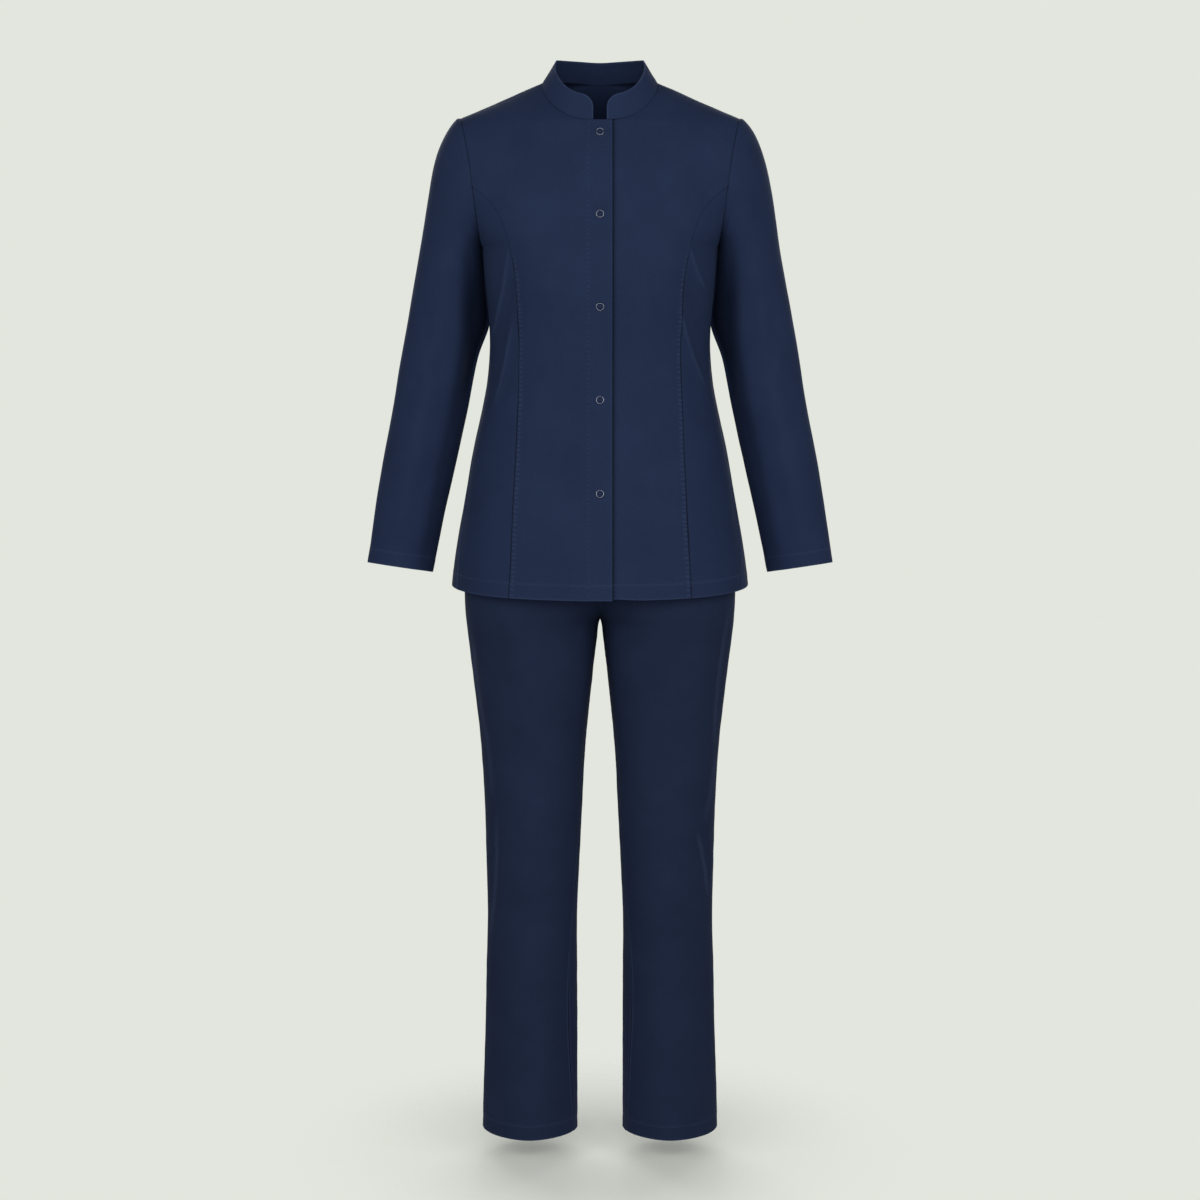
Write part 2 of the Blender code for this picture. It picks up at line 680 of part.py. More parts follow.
def leg_point(height, angle, face):
    """A point of the left leg; angle runs from the outer side round to the inner."""
    turn = math.radians(angle)
    cosine, sine = math.cos(turn), math.sin(turn)
    bend = 2 / leg("power", height)
    reach = math.copysign(abs(cosine)**bend, cosine)
    x = leg("centre_x", height) + leg("half_width", height) * reach
    facing = -1.0 if face == "front" else 1.0
    y = facing * leg(face, height) * abs(sine)**bend
    return shaped(Vector((max(x, SEAM_GAP / 2), y, height)), "leg", face, 0.0)


def leg_end(height, face):
    """The angle at which a piece of the leg ends: at the centre line or the inseam."""
    share = (leg("centre_x", height) - SEAM_GAP / 2) / leg("half_width", height)
    if height > CROTCH_Z and share < 1.0:
        return 180.0 - math.degrees(math.acos(max(share, 0.0)**(leg("power", height) / 2)))
    inseam = leg("inseam", height)
    return inseam if face == "front" else 360.0 - inseam


def leg_levels():
    """Heights from the waist down, closer together at the crotch."""
    top = WAIST_Z - WAISTBAND_DROP - SEAM_GAP
    shares = [(1 - i / RISE_STEPS)**RISE_CROWDING for i in range(RISE_STEPS)]
    rise = [CROTCH_Z + (top - CROTCH_Z) * share for share in shares]
    return rise + spread(CROTCH_Z, TROUSER_HEM_Z, LEG_STEPS)


def leg_rows(face):
    rows = []
    for height in leg_levels():
        angles = seam_spread(0.0, leg_end(height, face), LEG_ACROSS)
        line = [leg_round(height, angle, face) for angle in angles]
        inner = 0.0 if height > CROTCH_Z + 1.0 else SEAM_GAP / 2
        rows.append(pulled(line, SEAM_GAP / 2, inner))
    return rows


def leg_round(height, angle, face):
    """A leg point whose angle may pass the inner side on to the other face."""
    if angle <= 180.0:
        return leg_point(height, angle, face)
    return leg_point(height, 360.0 - angle, "front" if face == "back" else "back")


def waistband_piece(material):
    rows = []
    for height in spread(WAIST_Z, WAIST_Z - WAISTBAND_DROP, 2):
        quarter = seam_spread(0.0, 90.0, LEG_ACROSS)
        left_front = [leg_point(height, angle, "front") for angle in quarter]
        left_back = [leg_point(height, angle, "back") for angle in quarter]
        right_front = [Vector((-p.x, p.y, p.z)) for p in left_front]
        right_back = [Vector((-p.x, p.y, p.z)) for p in left_back]
        ring = left_front[:-1] + right_front[::-1] + right_back[1:-1] + left_back[::-1][:-1]
        rows.append(ring)
    return cloth_piece("waistband", [(rows, False, True)], material)


# Snaps

def snap_ring(number, height, material):
    """An open metal ring that lies on the outer front, square to the cloth there."""
    edge = [front_point(level, 0.0) for level in front_levels()]
    below, above = next((a, b) for a, b in zip(edge, edge[1:]) if b.z >= height)
    share = (height - below.z) / (above.z - below.z)
    surface = Vector((0.0, below.y + (above.y - below.y) * share - TOP_LAYER_RISE, height))
    outward = Vector((0.0, below.z - above.z, above.y - below.y)).normalized()
    centre = surface + outward * (SEAM_GAP + SNAP_WIRE)
    bpy.ops.mesh.primitive_torus_add(major_radius=SNAP_RING * MM, minor_radius=SNAP_WIRE * MM,
                                     major_segments=SNAP_ROUND, minor_segments=SNAP_WIRE_ROUND)
    ring = bpy.context.object
    ring.name = f"snap_{number}"
    ring.location = centre * MM
    ring.rotation_euler = outward.to_track_quat("Z", "Y").to_euler()
    ring.data.shade_smooth()
    ring.data.materials.append(material)
    return ring


# Materials and assembly

def finish(name, colour, roughness, metallic):
    material = bpy.data.materials.new(name)
    material.use_nodes = True
    shader = material.node_tree.nodes["Principled BSDF"]
    shader.inputs["Base Color"].default_value = colour
    shader.inputs["Roughness"].default_value = roughness
    shader.inputs["Metallic"].default_value = metallic
    return material


def clear_scene():
    for item in list(bpy.data.objects):
        bpy.data.objects.remove(item, do_unlink=True)


def build_tunic():
    pieces = []
    for left in (False, True):
        side = "left" if left else "right"
        pieces.append(front_piece(left, finish(f"twill front {side}", TUNIC_NAVY, 0.85, 0.0)))
        add_piece(pieces, "side_front", side_front_rows(),
                  finish(f"twill side {side}", TUNIC_NAVY, 0.85, 0.0), left)
        rows = sleeve_rows()
        if not left:
            rows = mirrored(rows)
        twill = finish(f"twill sleeve {side}", TUNIC_NAVY, 0.85, 0.0)
        pieces.append(cloth_piece(f"sleeve_{side}", [(rows, not left, True)], twill))
    pieces.append(back_piece(finish("twill back", TUNIC_NAVY, 0.85, 0.0)))
    pieces.append(collar_piece(finish("twill collar", TUNIC_NAVY, 0.85, 0.0)))
    return pieces


def build_trousers():
    pieces = []
    for left in (False, True):
        for face in ("front", "back"):
            side = "left" if left else "right"
            twill = finish(f"twill leg {face} {side}", TROUSER_NAVY, 0.85, 0.0)
            add_piece(pieces, f"trouser_{face}", leg_rows(face), twill, left, flip=face == "back")
    pieces.append(waistband_piece(finish("twill waistband", TROUSER_NAVY, 0.85, 0.0)))
    return pieces


def main():
    clear_scene()
    collection = bpy.data.collections.new("tunic_and_trousers_set")
    bpy.context.scene.collection.children.link(collection)
    snaps = [snap_ring(n + 1, height, finish(f"snap metal {n + 1}", SNAP_GREY, 0.3, 1.0))
             for n, height in enumerate(SNAP_HEIGHTS)]
    for ring in snaps:
        for home in list(ring.users_collection):
            home.objects.unlink(ring)
    for piece in snaps + build_tunic() + build_trousers():
        collection.objects.link(piece)


main()
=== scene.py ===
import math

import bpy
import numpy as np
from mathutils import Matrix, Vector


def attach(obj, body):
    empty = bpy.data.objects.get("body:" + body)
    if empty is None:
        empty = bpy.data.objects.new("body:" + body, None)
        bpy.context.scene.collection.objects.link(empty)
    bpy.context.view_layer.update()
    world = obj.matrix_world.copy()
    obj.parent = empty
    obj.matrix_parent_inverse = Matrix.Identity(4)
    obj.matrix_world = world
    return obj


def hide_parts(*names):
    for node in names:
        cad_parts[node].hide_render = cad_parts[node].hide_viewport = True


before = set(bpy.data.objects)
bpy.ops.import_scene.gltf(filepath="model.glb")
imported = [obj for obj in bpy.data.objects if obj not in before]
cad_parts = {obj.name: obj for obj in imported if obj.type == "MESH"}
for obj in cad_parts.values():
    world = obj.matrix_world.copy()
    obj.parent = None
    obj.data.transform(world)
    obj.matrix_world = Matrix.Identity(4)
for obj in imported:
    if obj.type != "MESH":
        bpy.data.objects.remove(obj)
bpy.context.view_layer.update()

# Looks of a navy work set: a fitted tunic with a stand collar and ring snaps over
# straight trousers, filled out as if worn. Every cloth piece is a fine shell on the form
# of its plain solid, with its seams, hems, creases, stitches and weave.
#
# +Z is up, the front faces -Y and +X is the wearer's left. Sizes are in millimetres and
# turn into metres when a mesh is made.

BODY = "root"
MM = 0.001

# Cloth
CLOTH = 1.1  # wall of a shell, a turned edge is two layers of twill
COLLAR_CLOTH = 1.6  # two layers with interlining
EDGE_ROUND = 0.35  # radius of a folded edge
SEAM_GAP = 0.08  # closer than in the solids, so that no light shows through a seam
SHELL_INSET = 0.04  # half a seam gap, drawn back from the line of each seam

# Closing down the centre front
PLACKET_HALF = 16.0
CLOSING_FADE = 45.0
TOP_LAYER_RISE = 1.1
UNDER_LAYER_DROP = 0.9
UNDER_HEM_LIFT = 2.0
LINING_END_Z = -40.0  # a faint line where the closing's lining ends under the top snap
STRIP_PLACES = (-16.0, -15.6, -14.9, -13.8, -12.0, -9.6, -7.2, -4.8, -2.4, 0.0, 2.4, 4.8, 7.2, 9.6,
                12.0, 13.6, 14.5, 15.0, 15.5, 16.0)  # columns across the closing

# Levels of the tunic
HEM_Z = -620.0
ARMPIT_Z = -167.0
NECK_FRONT_Z = -1.0
NAPE_Z = 44.0
SIDE_Y = 5.0

# The ring that the armhole follows
SHOULDER_TIP = np.array((183.0, SIDE_Y, 0.0))
ARMPIT = np.array((157.0, SIDE_Y, ARMPIT_Z))
ARMHOLE_FRONT = 61.0
ARMHOLE_BACK = 57.0
ARMHOLE_SCOOP = 6.0
PRINCESS_TOP_ANGLE = 93.0
NECK_CORNER_ANGLE = 45.0
NAPE_ANGLE = 60.0
RING_STEP = 1.5  # level distance that stands for one degree of the armhole

# Neckline
NECK_POINT = (76.2, 6.0, 45.0)
NECK_FRONT = np.array(((PLACKET_HALF, -58.0, NECK_FRONT_Z), (50.0, -57.0, NECK_FRONT_Z),
                       (77.0, -28.0, 27.0), NECK_POINT))
NECK_BACK = np.array((NECK_POINT, (76.0, 32.0, 50.0), (42.0, 71.0, 48.0), (0.0, 72.0, NAPE_Z)))

# Stand collar
COLLAR_END_X = 9.0
COLLAR_CORNER = 17.0
COLLAR_END_COLUMNS = 15
COLLAR_EDGE_SHARES = (0.0, 0.4 / 30, 1.0 / 30, 1.8 / 30, 2.8 / 30)  # fine rows at foot and top edge
COLLAR_SIDE_DROP = 4.6  # the top edge falls off in a round at the sides
NAPE_LEVELLED = 0.0034  # keeps the top edge even at the nape
COLLAR_COLUMNS = ("place", "lean", "rise")  # place: 0 front end, 0.5 neck point, 1 nape
COLLAR = [
    (0.00, 6, 32.5),
    (0.25, 12, 32),
    (0.50, 17, 29.5),
    (0.75, 14.5, 27.5),
    (1.00, 12, 28.5),
]

# Centre lines of the tunic seen from the side
FRONT_LINE_COLUMNS = ("height", "depth")
FRONT_LINE = [
    (-620, 146),
    (-550, 138),
    (-482, 128),
    (-420, 119),
    (-361, 113),
    (-300, 112),
    (-240, 118),
    (-190, 120),
    (-150, 115),
    (-100, 102),
    (-60, 88),
    (-25, 71),
    (-1, 58),
]
BACK_LINE_COLUMNS = ("height", "depth")
BACK_LINE = [
    (-620, 141),
    (-560, 136),
    (-500, 125),
    (-440, 109),
    (-380, 92),
    (-320, 83),
    (-260, 88),
    (-200, 99),
    (-140, 106),
    (-70, 104),
    (0, 90),
    (44, 72),
]

# Tunic seen from the front, under the arms
BODY_COLUMNS = ("height", "half_width", "side_seam")
BODY_WIDTHS = [
    (-620, 199.8, 0.80),
    (-573, 193.9, 0.84),
    (-519, 184.1, 0.89),
    (-465, 174.3, 0.95),
    (-424, 165.8, 1.00),
    (-384, 156.8, 1.00),
    (-344, 149.4, 1.00),
    (-305, 146.4, 1.00),
    (-266, 147.9, 1.00),
    (-212, 153.2, 1.00),
    (-167, 157, 1.00),
]
FULL_FRONT = 0.60
FULL_SIDE = 0.56
FULL_BACK = 0.58

# Directions in which the rows above the armpit leave their two ends
UPPER_COLUMNS = ("angle", "in_x", "in_y", "in_z", "out_x", "out_y", "out_z")
FRONT_UPPER = [
    (150, 84, 0, 0, -9, -56, 2),
    (120, 82, 0, 0, -30, -41, 4),
    (93, 78, 0, 0, -43, -27, 5),
    (68, 70, -1, -2, -46, -17, 6),
    (45, 56, -4, -4, -46, -9, 10),
    (22, 40, -1, -6, -38, -3, 13),
    (0, 30, 0, -14.5, -34, 0, 15),
]
BACK_UPPER = [
    (150, 88, 0, 0, -8, 46, 2),
    (120, 86, 0, 0, -30, 34, 4),
    (90, 78, 0, 0, -46, 20, 6),
    (60, 62, 1, -3, -48, 11, 11),
    (30, 44, 1, -9, -40, 4, 14),
    (0, 30, 0, -14.5, -34, 0, 15),
]

# Princess seam, as its distance from the centre line
PRINCESS_COLUMNS = ("height", "distance")
PRINCESS = [
    (-622, 120),
    (-567, 117),
    (-506, 114),
    (-400, 109),
    (-300, 106),
    (-240, 107.8),
    (-207, 110.3),
    (-180, 114.3),
    (-155, 120),
    (-134, 126.5),
    (-120, 133.5),
    (-108, 143),
    (-97, 154.5),
    (-88, 168),
]

# Sleeve, a row for each ring
SLEEVE_COLUMNS = ("along", "top_x", "top_z", "under_x", "under_z", "mid_y", "front", "back",
                  "scoop", "pitch")
SLEEVE = [
    (0, 183, 0, 157, -167, 5, 61, 57, 6, 0),
    (6, 188.6, -1, 157.9, -170, 5.5, 61, 57, 5, 0),
    (22, 199.6, -14, 158.2, -177, 7, 60.5, 57, 3, 0),
    (50, 211, -36, 157.3, -187, 10, 60, 57, 1, 0),
    (80, 219.5, -62, 155.8, -200, 13, 60, 57, 0, 0),
    (115, 227.2, -98, 153.6, -215, 17, 60, 56.5, 0, 0),
    (175, 239, -166, 150, -240, 21, 59, 56, 0, 0),
    (235, 250, -230, 148.2, -272, 22, 57, 55, 0, 0),
    (300, 263, -300, 163.5, -318, 18, 54, 53, 0, 0),
    (370, 275, -370, 177.5, -387, 11, 51, 51, 0, 0),
    (440, 288, -438, 192.4, -454, 3, 48, 48, 0, 2),
    (510, 300, -508, 208, -522, -5, 45, 45, 0, 4),
    (595, 312.1, -588.3, 224.7, -601.5, -12, 41.5, 41, 0, 6),
]
SLEEVE_LENGTH = 595.0

# Trousers, a row for each level of the left leg
WAIST_Z = -400.0
WAISTBAND_DROP = 40.0
CROTCH_Z = -664.0
TROUSER_HEM_Z = -1380.0
LEG_COLUMNS = ("height", "centre_x", "half_width", "front", "back", "inseam", "power")
LEG = [
    (-1380, 96.7, 64.6, 63, 63.5, 160, 1.84),
    (-1320, 95.9, 63.6, 62.5, 64, 152, 1.90),
    (-1229, 94.2, 62, 62, 64, 145, 2.00),
    (-1150, 93.4, 61, 62.5, 65, 144, 2.05),
    (-1080, 92.4, 59.9, 63.5, 67, 152, 2.10),
    (-1002, 91.4, 62.2, 67, 71, 158, 2.15),
    (-918, 90.3, 65.3, 72, 77, 168, 2.20),
    (-834, 90.6, 69.9, 79, 85.5, 176, 2.20),
    (-751, 91, 78.5, 90, 97, 180, 2.20),
    (-696, 91, 84.9, 99, 107.5, 180, 2.20),
    (-664, 89.8, 89.6, 104, 114, 180, 2.20),
    (-640, 79.5, 101.2, 107.5, 118, 180, 2.20),
    (-600, 60, 120.9, 109, 119.5, 180, 2.20),
    (-540, 34, 140, 107, 114.5, 180, 2.20),
    (-490, 14, 146, 103.5, 104, 180, 2.20),
    (-440, 0, 147, 99, 92, 180, 2.20),
    (-400, 0, 139, 96, 83, 180, 2.20),
]

# The largest folds, which the solids have too. They stand on both sides alike. A row holds x
# and z of both ends, width and height.
FOLD_CLEAR = 40.0  # folds and creases fade out within this of a side seam
SIDE_CLEAR = 30.0
FOLDS = {
    ("body", "front"): [
        (88, -185, 84, -215, 55, 5), (122, -275, 128, -340, 16, -2.2),
        (140, -470, 158, -600, 24, 2.4), (62, -455, 70, -618, 34, -2),
    ],
    ("body", "back"): [
        (95, -90, 90, -150, 45, 3.5), (78, -290, 74, -350, 26, -3),
        (60, -480, 66, -618, 34, -3), (128, -500, 146, -618, 28, 2.5),
    ],
    ("sleeve", "front"): [
        (186, -215, 208, -330, 15, -2.6), (236, -360, 262, -520, 18, 2.2),
    ],
    ("sleeve", "back"): [
        (196, -300, 232, -345, 14, -3), (210, -395, 246, -372, 12, -2.4),
    ],
    ("leg", "front"): [
        (134, -690, 132, -850, 22, -3), (60, -700, 78, -880, 22, -2.2),
        (92, -1010, 96, -1360, 26, 2),
    ],
    ("leg", "back"): [
        (60, -690, 112, -745, 22, -3.5), (92, -900, 94, -1300, 26, 2.5),
        (120, -980, 76, -1010, 16, -2.5),
    ],
}

# Finer creases, by the real side of the wearer: +X is left. A row holds x and z of both
# ends, how far the middle bends to the side, the width where it has faded and the depth of
# its trough, which is below 0 for a ridge.
CREASES = {
    ("body", "front"): [
        (117, -168, 138, -222, -2, 5, -1.4), (116, -202, 129, -264, -2, 8, 1.2),
        (105, -251, 137, -345, -3, 5, -1.6), (129, -264, 139, -326, -2, 9, 1.3),
        (-119, -172, -143, -290, 3, 5, -1.6), (-117, -206, -131, -294, 2, 8, 1.4),
        (-113, -264, -138, -369, 2, 5, -1.6), (-139, -290, -140, -352, 1, 9, 1.3),
        (52, -330, 84, -352, -4, 9, 0.4), (-48, -318, -82, -345, 5, 10, 0.45),
        (150, -96, 118, -66, 5, 12, 0.8), (-150, -92, -122, -58, -5, 12, 0.7),
        (86, -520, 94, -612, 3, 14, 0.7), (-84, -498, -95, -610, -4, 15, 0.8),
    ],
    ("body", "back"): [
        (30, -300, 92, -322, 7, 12, 1.6), (-24, -306, -96, -314, -8, 12, 1.8),
        (44, -352, 104, -338, -6, 10, 1.3), (-40, -345, -100, -352, 6, 10, 1.2),
        (128, -120, 96, -200, -8, 14, 1.6), (-130, -112, -92, -196, 9, 14, 1.5),
        (36, 8, 92, -14, 5, 12, 0.8), (-34, 6, -88, -10, -5, 12, 0.9),
        (90, -430, 104, -600, 5, 16, 1.2), (-86, -440, -106, -604, -6, 16, 1.3),
    ],
    ("sleeve", "front"): [
        (233, -246, 212, -336, 6, 10, 2.3), (-232, -240, -208, -344, -7, 11, 2.5),
        (248, -255, 258, -405, -5, 13, 2), (-250, -262, -254, -396, 6, 14, 1.8),
        (246, -372, 264, -500, -6, 16, -1.6), (-244, -360, -262, -488, 7, 16, -1.8),
        (214, -318, 262, -352, -6, 9, 0.9), (-212, -322, -258, -346, 7, 9, 0.8),
        (205, -372, 246, -352, 5, 8, 0.9), (-206, -366, -240, -350, -4, 8, 1),
        (232, -470, 250, -560, 4, 11, 0.7), (-230, -462, -252, -556, -5, 11, 0.8),
        (206, -60, 214, -150, -5, 14, 0.7), (-205, -55, -215, -146, 5, 14, 0.8),
    ],
    ("sleeve", "back"): [
        (186, -262, 236, -300, 8, 11, 2), (-188, -268, -234, -296, -8, 11, 1.9),
        (196, -342, 254, -330, -9, 10, 2), (-194, -338, -252, -336, 8, 10, 2.1),
        (200, -424, 250, -388, -6, 9, 1.5), (-202, -416, -248, -392, 7, 9, 1.6),
        (172, -120, 190, -220, 8, 14, 1.6), (-171, -126, -192, -214, -8, 14, 1.5),
    ],
    ("leg", "front"): [
        (12, -690, 66, -640, -6, 12, 1.6), (-12, -686, -70, -634, 7, 12, 1.5),
        (18, -738, 62, -700, 5, 12, 1), (-17, -744, -58, -696, -5, 12, 1.1),
        (171, -650, 154, -830, -3, 6, -1.7), (155, -849, 141, -935, 2, 9, -0.6),
        (131, -950, 146, -1040, 2, 6, -1.3), (140, -676, 132, -790, -5, 12, 1.2),
        (-172, -685, -155, -812, -3, 6, -1.9), (-156, -797, -145, -900, 2, 9, -0.6),
        (-139, -933, -149, -1095, 2, 6, -1.4), (-150, -704, -134, -846, 5, 12, 1.3),
        (74, -1020, 122, -1040, 5, 14, 0.8), (-70, -1032, -118, -1018, 5, 14, 0.7),
        (66, -1150, 72, -1340, 4, 15, 0.9), (-64, -1160, -74, -1350, -4, 15, 1),
        (122, -1180, 126, -1360, -3, 15, 0.7), (-120, -1170, -127, -1352, 3, 15, 0.8),
    ],
    ("leg", "back"): [
        (24, -700, 120, -668, 10, 13, 2.2), (-22, -706, -116, -664, -11, 13, 2.3),
        (30, -752, 110, -738, 8, 13, 1.5), (-30, -756, -104, -732, -8, 13, 1.6),
        (54, -990, 130, -1012, 8, 11, 1.7), (-56, -996, -128, -1004, -8, 11, 1.8),
        (66, -1040, 124, -1030, -7, 11, 1.3), (-64, -1032, -126, -1038, 7, 11, 1.4),
        (74, -1120, 80, -1330, 5, 16, 1.1), (-76, -1112, -82, -1322, -5, 16, 1.2),
    ],
}

# The deep fold where each sleeve bends in beside the body and its inner panel turns back,
# seen from the front. A lesser one runs on along the inner edge to the cuff.
ARMPIT_FOLD_COLUMNS = ("height", "distance", "depth", "width")
ARMPIT_FOLD = [
    (-610, 236, 0, 9),
    (-560, 226, 3.5, 9),
    (-450, 203, 5, 9),
    (-385, 187, 8, 9),
    (-345, 177, 15, 9.5),
    (-300, 169.5, 20, 10.5),
    (-240, 167, 18, 11),
    (-200, 167, 9, 11),
    (-150, 167, 0, 11),
]

# Back dart
DART_TOP_Z = -190.0
DART_END_Z = -500.0
DART_X = 76.0
DART_WAIST_Z = -320.0

# Seams and hems
SEAM_REACH = 60.0  # distances from a seam are measured within this
OUT_OF_REACH = 1000.0
SEAM_DEEP = 0.6  # how far cloth rolls in at a seam
SEAM_ROLL = 1.1  # over this distance
# The cloth darkened along a seam line is painted shade.
CREVICE = 0.75  # how far from the seam line the cloth turns dark
TOPSTITCH_IN = 6.5  # princess topstitching, from its seam
NECK_STITCH_IN = 2.4
PLACKET_STITCH_X = 15.0
PLACKET_TOP_STITCH = 8.6  # under the top edge of the closing
HEM_TURN = 20.0  # depth of the tunic's and sleeves' hems
TROUSER_HEM_TURN = 19.0
STITCH_SUNK = 0.28  # how deep a row of stitches pulls the cloth in
STITCH_TROUGH = 1.1
SEAM_ALLOWANCE_RISE = 0.3
SEAM_FLAT = 0.1  # how far cloth rolls in at a seam that is pressed flat
PUCKER_RISE = 0.16
HEM_FLATNESS = 0.8  # share of a stitched seam's relief that a hem shows
# How much paler a hem is where its turning ends, and how wide that line and the paler edge are: partly
# pressing wear, partly painted highlight
HEM_TURN_PALER = 0.24
HEM_TURN_PALER_WIDTH = 1.4
HEM_EDGE_PALER_WIDTH = 1.6
GATHERS_IN = 4.2  # middle of the gathered band beside the princess seam
GATHERS_HALF = 3.0
PRINCESS_FAINT = 0.35  # share of the princess seam's relief on the chest
PRINCESS_DEEPENS_Z = -150.0
PRINCESS_FADE = 60.0
SIDE_SEAM_FLAT_Z = -330.0  # above this and its fade the side seam lies flat
SIDE_SEAM_FADE = 60.0
RIDGE_DRAWN_BACK = 0.4  # share of a step that the shoulder's last row stands back
UNDERARM_END = 205.0  # how far down the sleeve it lies against the body
UNDERARM_REST = 3.0  # how far a sleeve's shell may stand out to lie against the body

# Distances from a seam and from a hem at which the grids have their lines
SEAM_STEPS = (0.0, 0.45, 1.1, 2.0, 3.2, 4.6, 5.8, 6.5, 7.2, 8.4, 11.0)
HEM_STEPS = (0.0, 0.45, 1.1, 2.2, 4.0, 7.0, 10.5, 14.5, 17.6, 19.0, 19.7, 20.4, 21.6, 24.0)

# Fineness of the shells
SLEEVE_GRID = 3.4
BODY_GRID = 2.5
LEG_GRID = 4.4
CURVE_SAMPLES = 140
FRONT_ACROSS = 34
SIDE_ACROSS = 22
BACK_ACROSS = 38
SLEEVE_AROUND = 84
LEG_ACROSS = 40
WAISTBAND_ROWS = 8
WAISTBAND_STEPS = (0.0, 0.6, 1.6, 3.2)
JOIN_NEARER = 0.05  # points nearer than this become one
ARMPIT_BLEND = 40.0  # rows within this of the armpit's level are evened out
EVENING = ((0.1, -18.0), (0.2, -9.0), (0.4, 0.0), (0.2, 9.0), (0.1, 18.0))  # shares of rows, and levels
EVENING_AT_SIDE = 0.25  # share of a half row in which the evening fades out towards the side
UNEVEN_WAVES = 7

# Thread
STITCH = 2.6
STITCH_SPACE = 0.9
STITCH_START = 1.0  # from either end of a row
THREAD = 0.42  # drawn a little thicker than real sewing thread so that the rows show

# Snaps
SNAP_HEIGHTS = (-17.0, -121.3, -240.0, -361.0, -481.7)
SNAP_ROUND = 56  # sides of a ring
SNAP_DENT = 8.0  # radius of the faint dent that a pressed-in snap leaves round itself
RING_PROFILE = [  # radius and height, from the inner foot over the crown to the outer foot
    (3.90, -0.35),
    (3.90, 0.30),
    (3.98, 0.66),
    (4.20, 1.00),
    (4.50, 1.22),
    (4.82, 1.24),
    (5.12, 1.04),
    (5.38, 0.70),
    (5.54, 0.32),
    (5.58, -0.35),
]
CENTRE_PROFILE = [
    (0.02, -0.20),
    (0.02, 0.38),
    (0.40, 0.38),
    (1.60, 0.36),
    (2.80, 0.30),
    (3.70, 0.12),
    (3.91, -0.20),
]

# Colours, as sRGB
TUNIC_NAVY = ("141d34", "212e4a")
TROUSER_NAVY = ("121b30", "1f2a43")
# Paler pressed edges, partly wear and partly painted highlight, and painted highlights on the crests of
# gathers
WORN_AND_HIGHLIT_NAVY = "3a4867"
# Painted shade in seams, along the dart, beside the closing's edge and in the armpit folds
PAINTED_SHADE_NAVY = "060a14"
THREAD_NAVY = ("1a2440", "232f4c")
BLOOM = "8fa3d0"
NICKEL = "747a88"

# Weave
# The first mark is pressed edges made paler, partly by wear and partly as painted highlight; the second is
# painted shade in the lines of seams, along the dart, beside the closing's edge and in the armpit folds;
# the third is cloth drawn up by stitches, whose crests also get a painted highlight.
MARKS = ("wear", "seam", "pucker")  # pressed edges, lines of seams, and cloth drawn up by stitches
WALE_ANGLE = math.radians(27)
WALE_SPACING = 2.2  # the real twill's wales are 0.6 mm apart, too fine to show, so it is coarser
PUCKER_SPACING = 6.0  # the small gathers between a seam and its topstitching
WAVE_PERIOD = 2 * math.pi / 20  # Blender's wave texture at scale 1, in its own units

# Stage, light and camera, in metres. Lens and sensor are in millimetres.
CAMERA_TARGET = Vector((0.0, 0.0, -0.6416))
CAMERA_DISTANCE = 4.0
CAMERA_ELEVATION = math.radians(9)
CAMERA_LENS = 88.889
CAMERA_SENSOR = 36.0
FLOOR_Z = -1.412
FLOOR_FULL = 0.12
FLOOR_EDGE = 0.46
FLOOR_SHARE = 0.85  # how much of the floor is seen against the even light around it
PAPER = "d6d9d1"
BACKDROP = "e3e6de"
LIGHTS = [  # name, place and size in metres, power in watts
    ("softbox left", -2.5, -2.2, 0.4, 2.8, 54),
    ("softbox right", 2.6, -2.15, 0.35, 2.8, 58),
    ("softbox at the camera", 0, -2.6, 0.3, 1.8, 32),
    ("softbox behind left", -0.9, 3.5, 1, 2.6, 90),
    ("softbox behind right", 1, 3.4, 0.6, 2.6, 66),
]
LIGHTS_AIM = Vector((0.0, 0.0, -0.4))
FILL_LIGHT = 0.2  # how bright the surroundings light the set, against the backdrop as seen


# Reading the tables

def reader(columns, rows):
    """A function that reads a named column at any values of the first one."""
    table = np.array(sorted(rows), float)
    keys = table[:, 0]
    last = len(keys) - 1

    def read(name, at):
        values = table[:, columns.index(name)]
        at = np.clip(at, keys[0], keys[-1])
        i = np.clip(np.searchsorted(keys, at) - 1, 0, last - 1)

        def slope(n):
            low, high = np.maximum(n - 1, 0), np.minimum(n + 1, last)
            return (values[high] - values[low]) / (keys[high] - keys[low])

        span = keys[i + 1] - keys[i]
        t = (at - keys[i]) / span
        return ((2 * t**3 - 3 * t**2 + 1) * values[i] + (t**3 - 2 * t**2 + t) * span * slope(i)
                + (3 * t**2 - 2 * t**3) * values[i + 1] + (t**3 - t**2) * span * slope(i + 1))

    return read


front_line = reader(FRONT_LINE_COLUMNS, FRONT_LINE)
back_line = reader(BACK_LINE_COLUMNS, BACK_LINE)
body_width = reader(BODY_COLUMNS, BODY_WIDTHS)
princess = reader(PRINCESS_COLUMNS, PRINCESS)
sleeve = reader(SLEEVE_COLUMNS, SLEEVE)
leg = reader(LEG_COLUMNS, LEG)
collar = reader(COLLAR_COLUMNS, COLLAR)
armpit_fold = reader(ARMPIT_FOLD_COLUMNS, ARMPIT_FOLD)


def bezier(controls, t):
    """Points on the cubic curve through four control points."""
    t = np.asarray(t, float)[..., None]
    s = 1 - t
    a, b, c, d = controls
    return a * s**3 + b * (3 * s * s * t) + c * (3 * s * t * t) + d * t**3


def smooth(t):
    """0 below 0, 1 above 1 and a soft step between."""
    t = np.clip(t, 0.0, 1.0)
    return t * t * (3 - 2 * t)


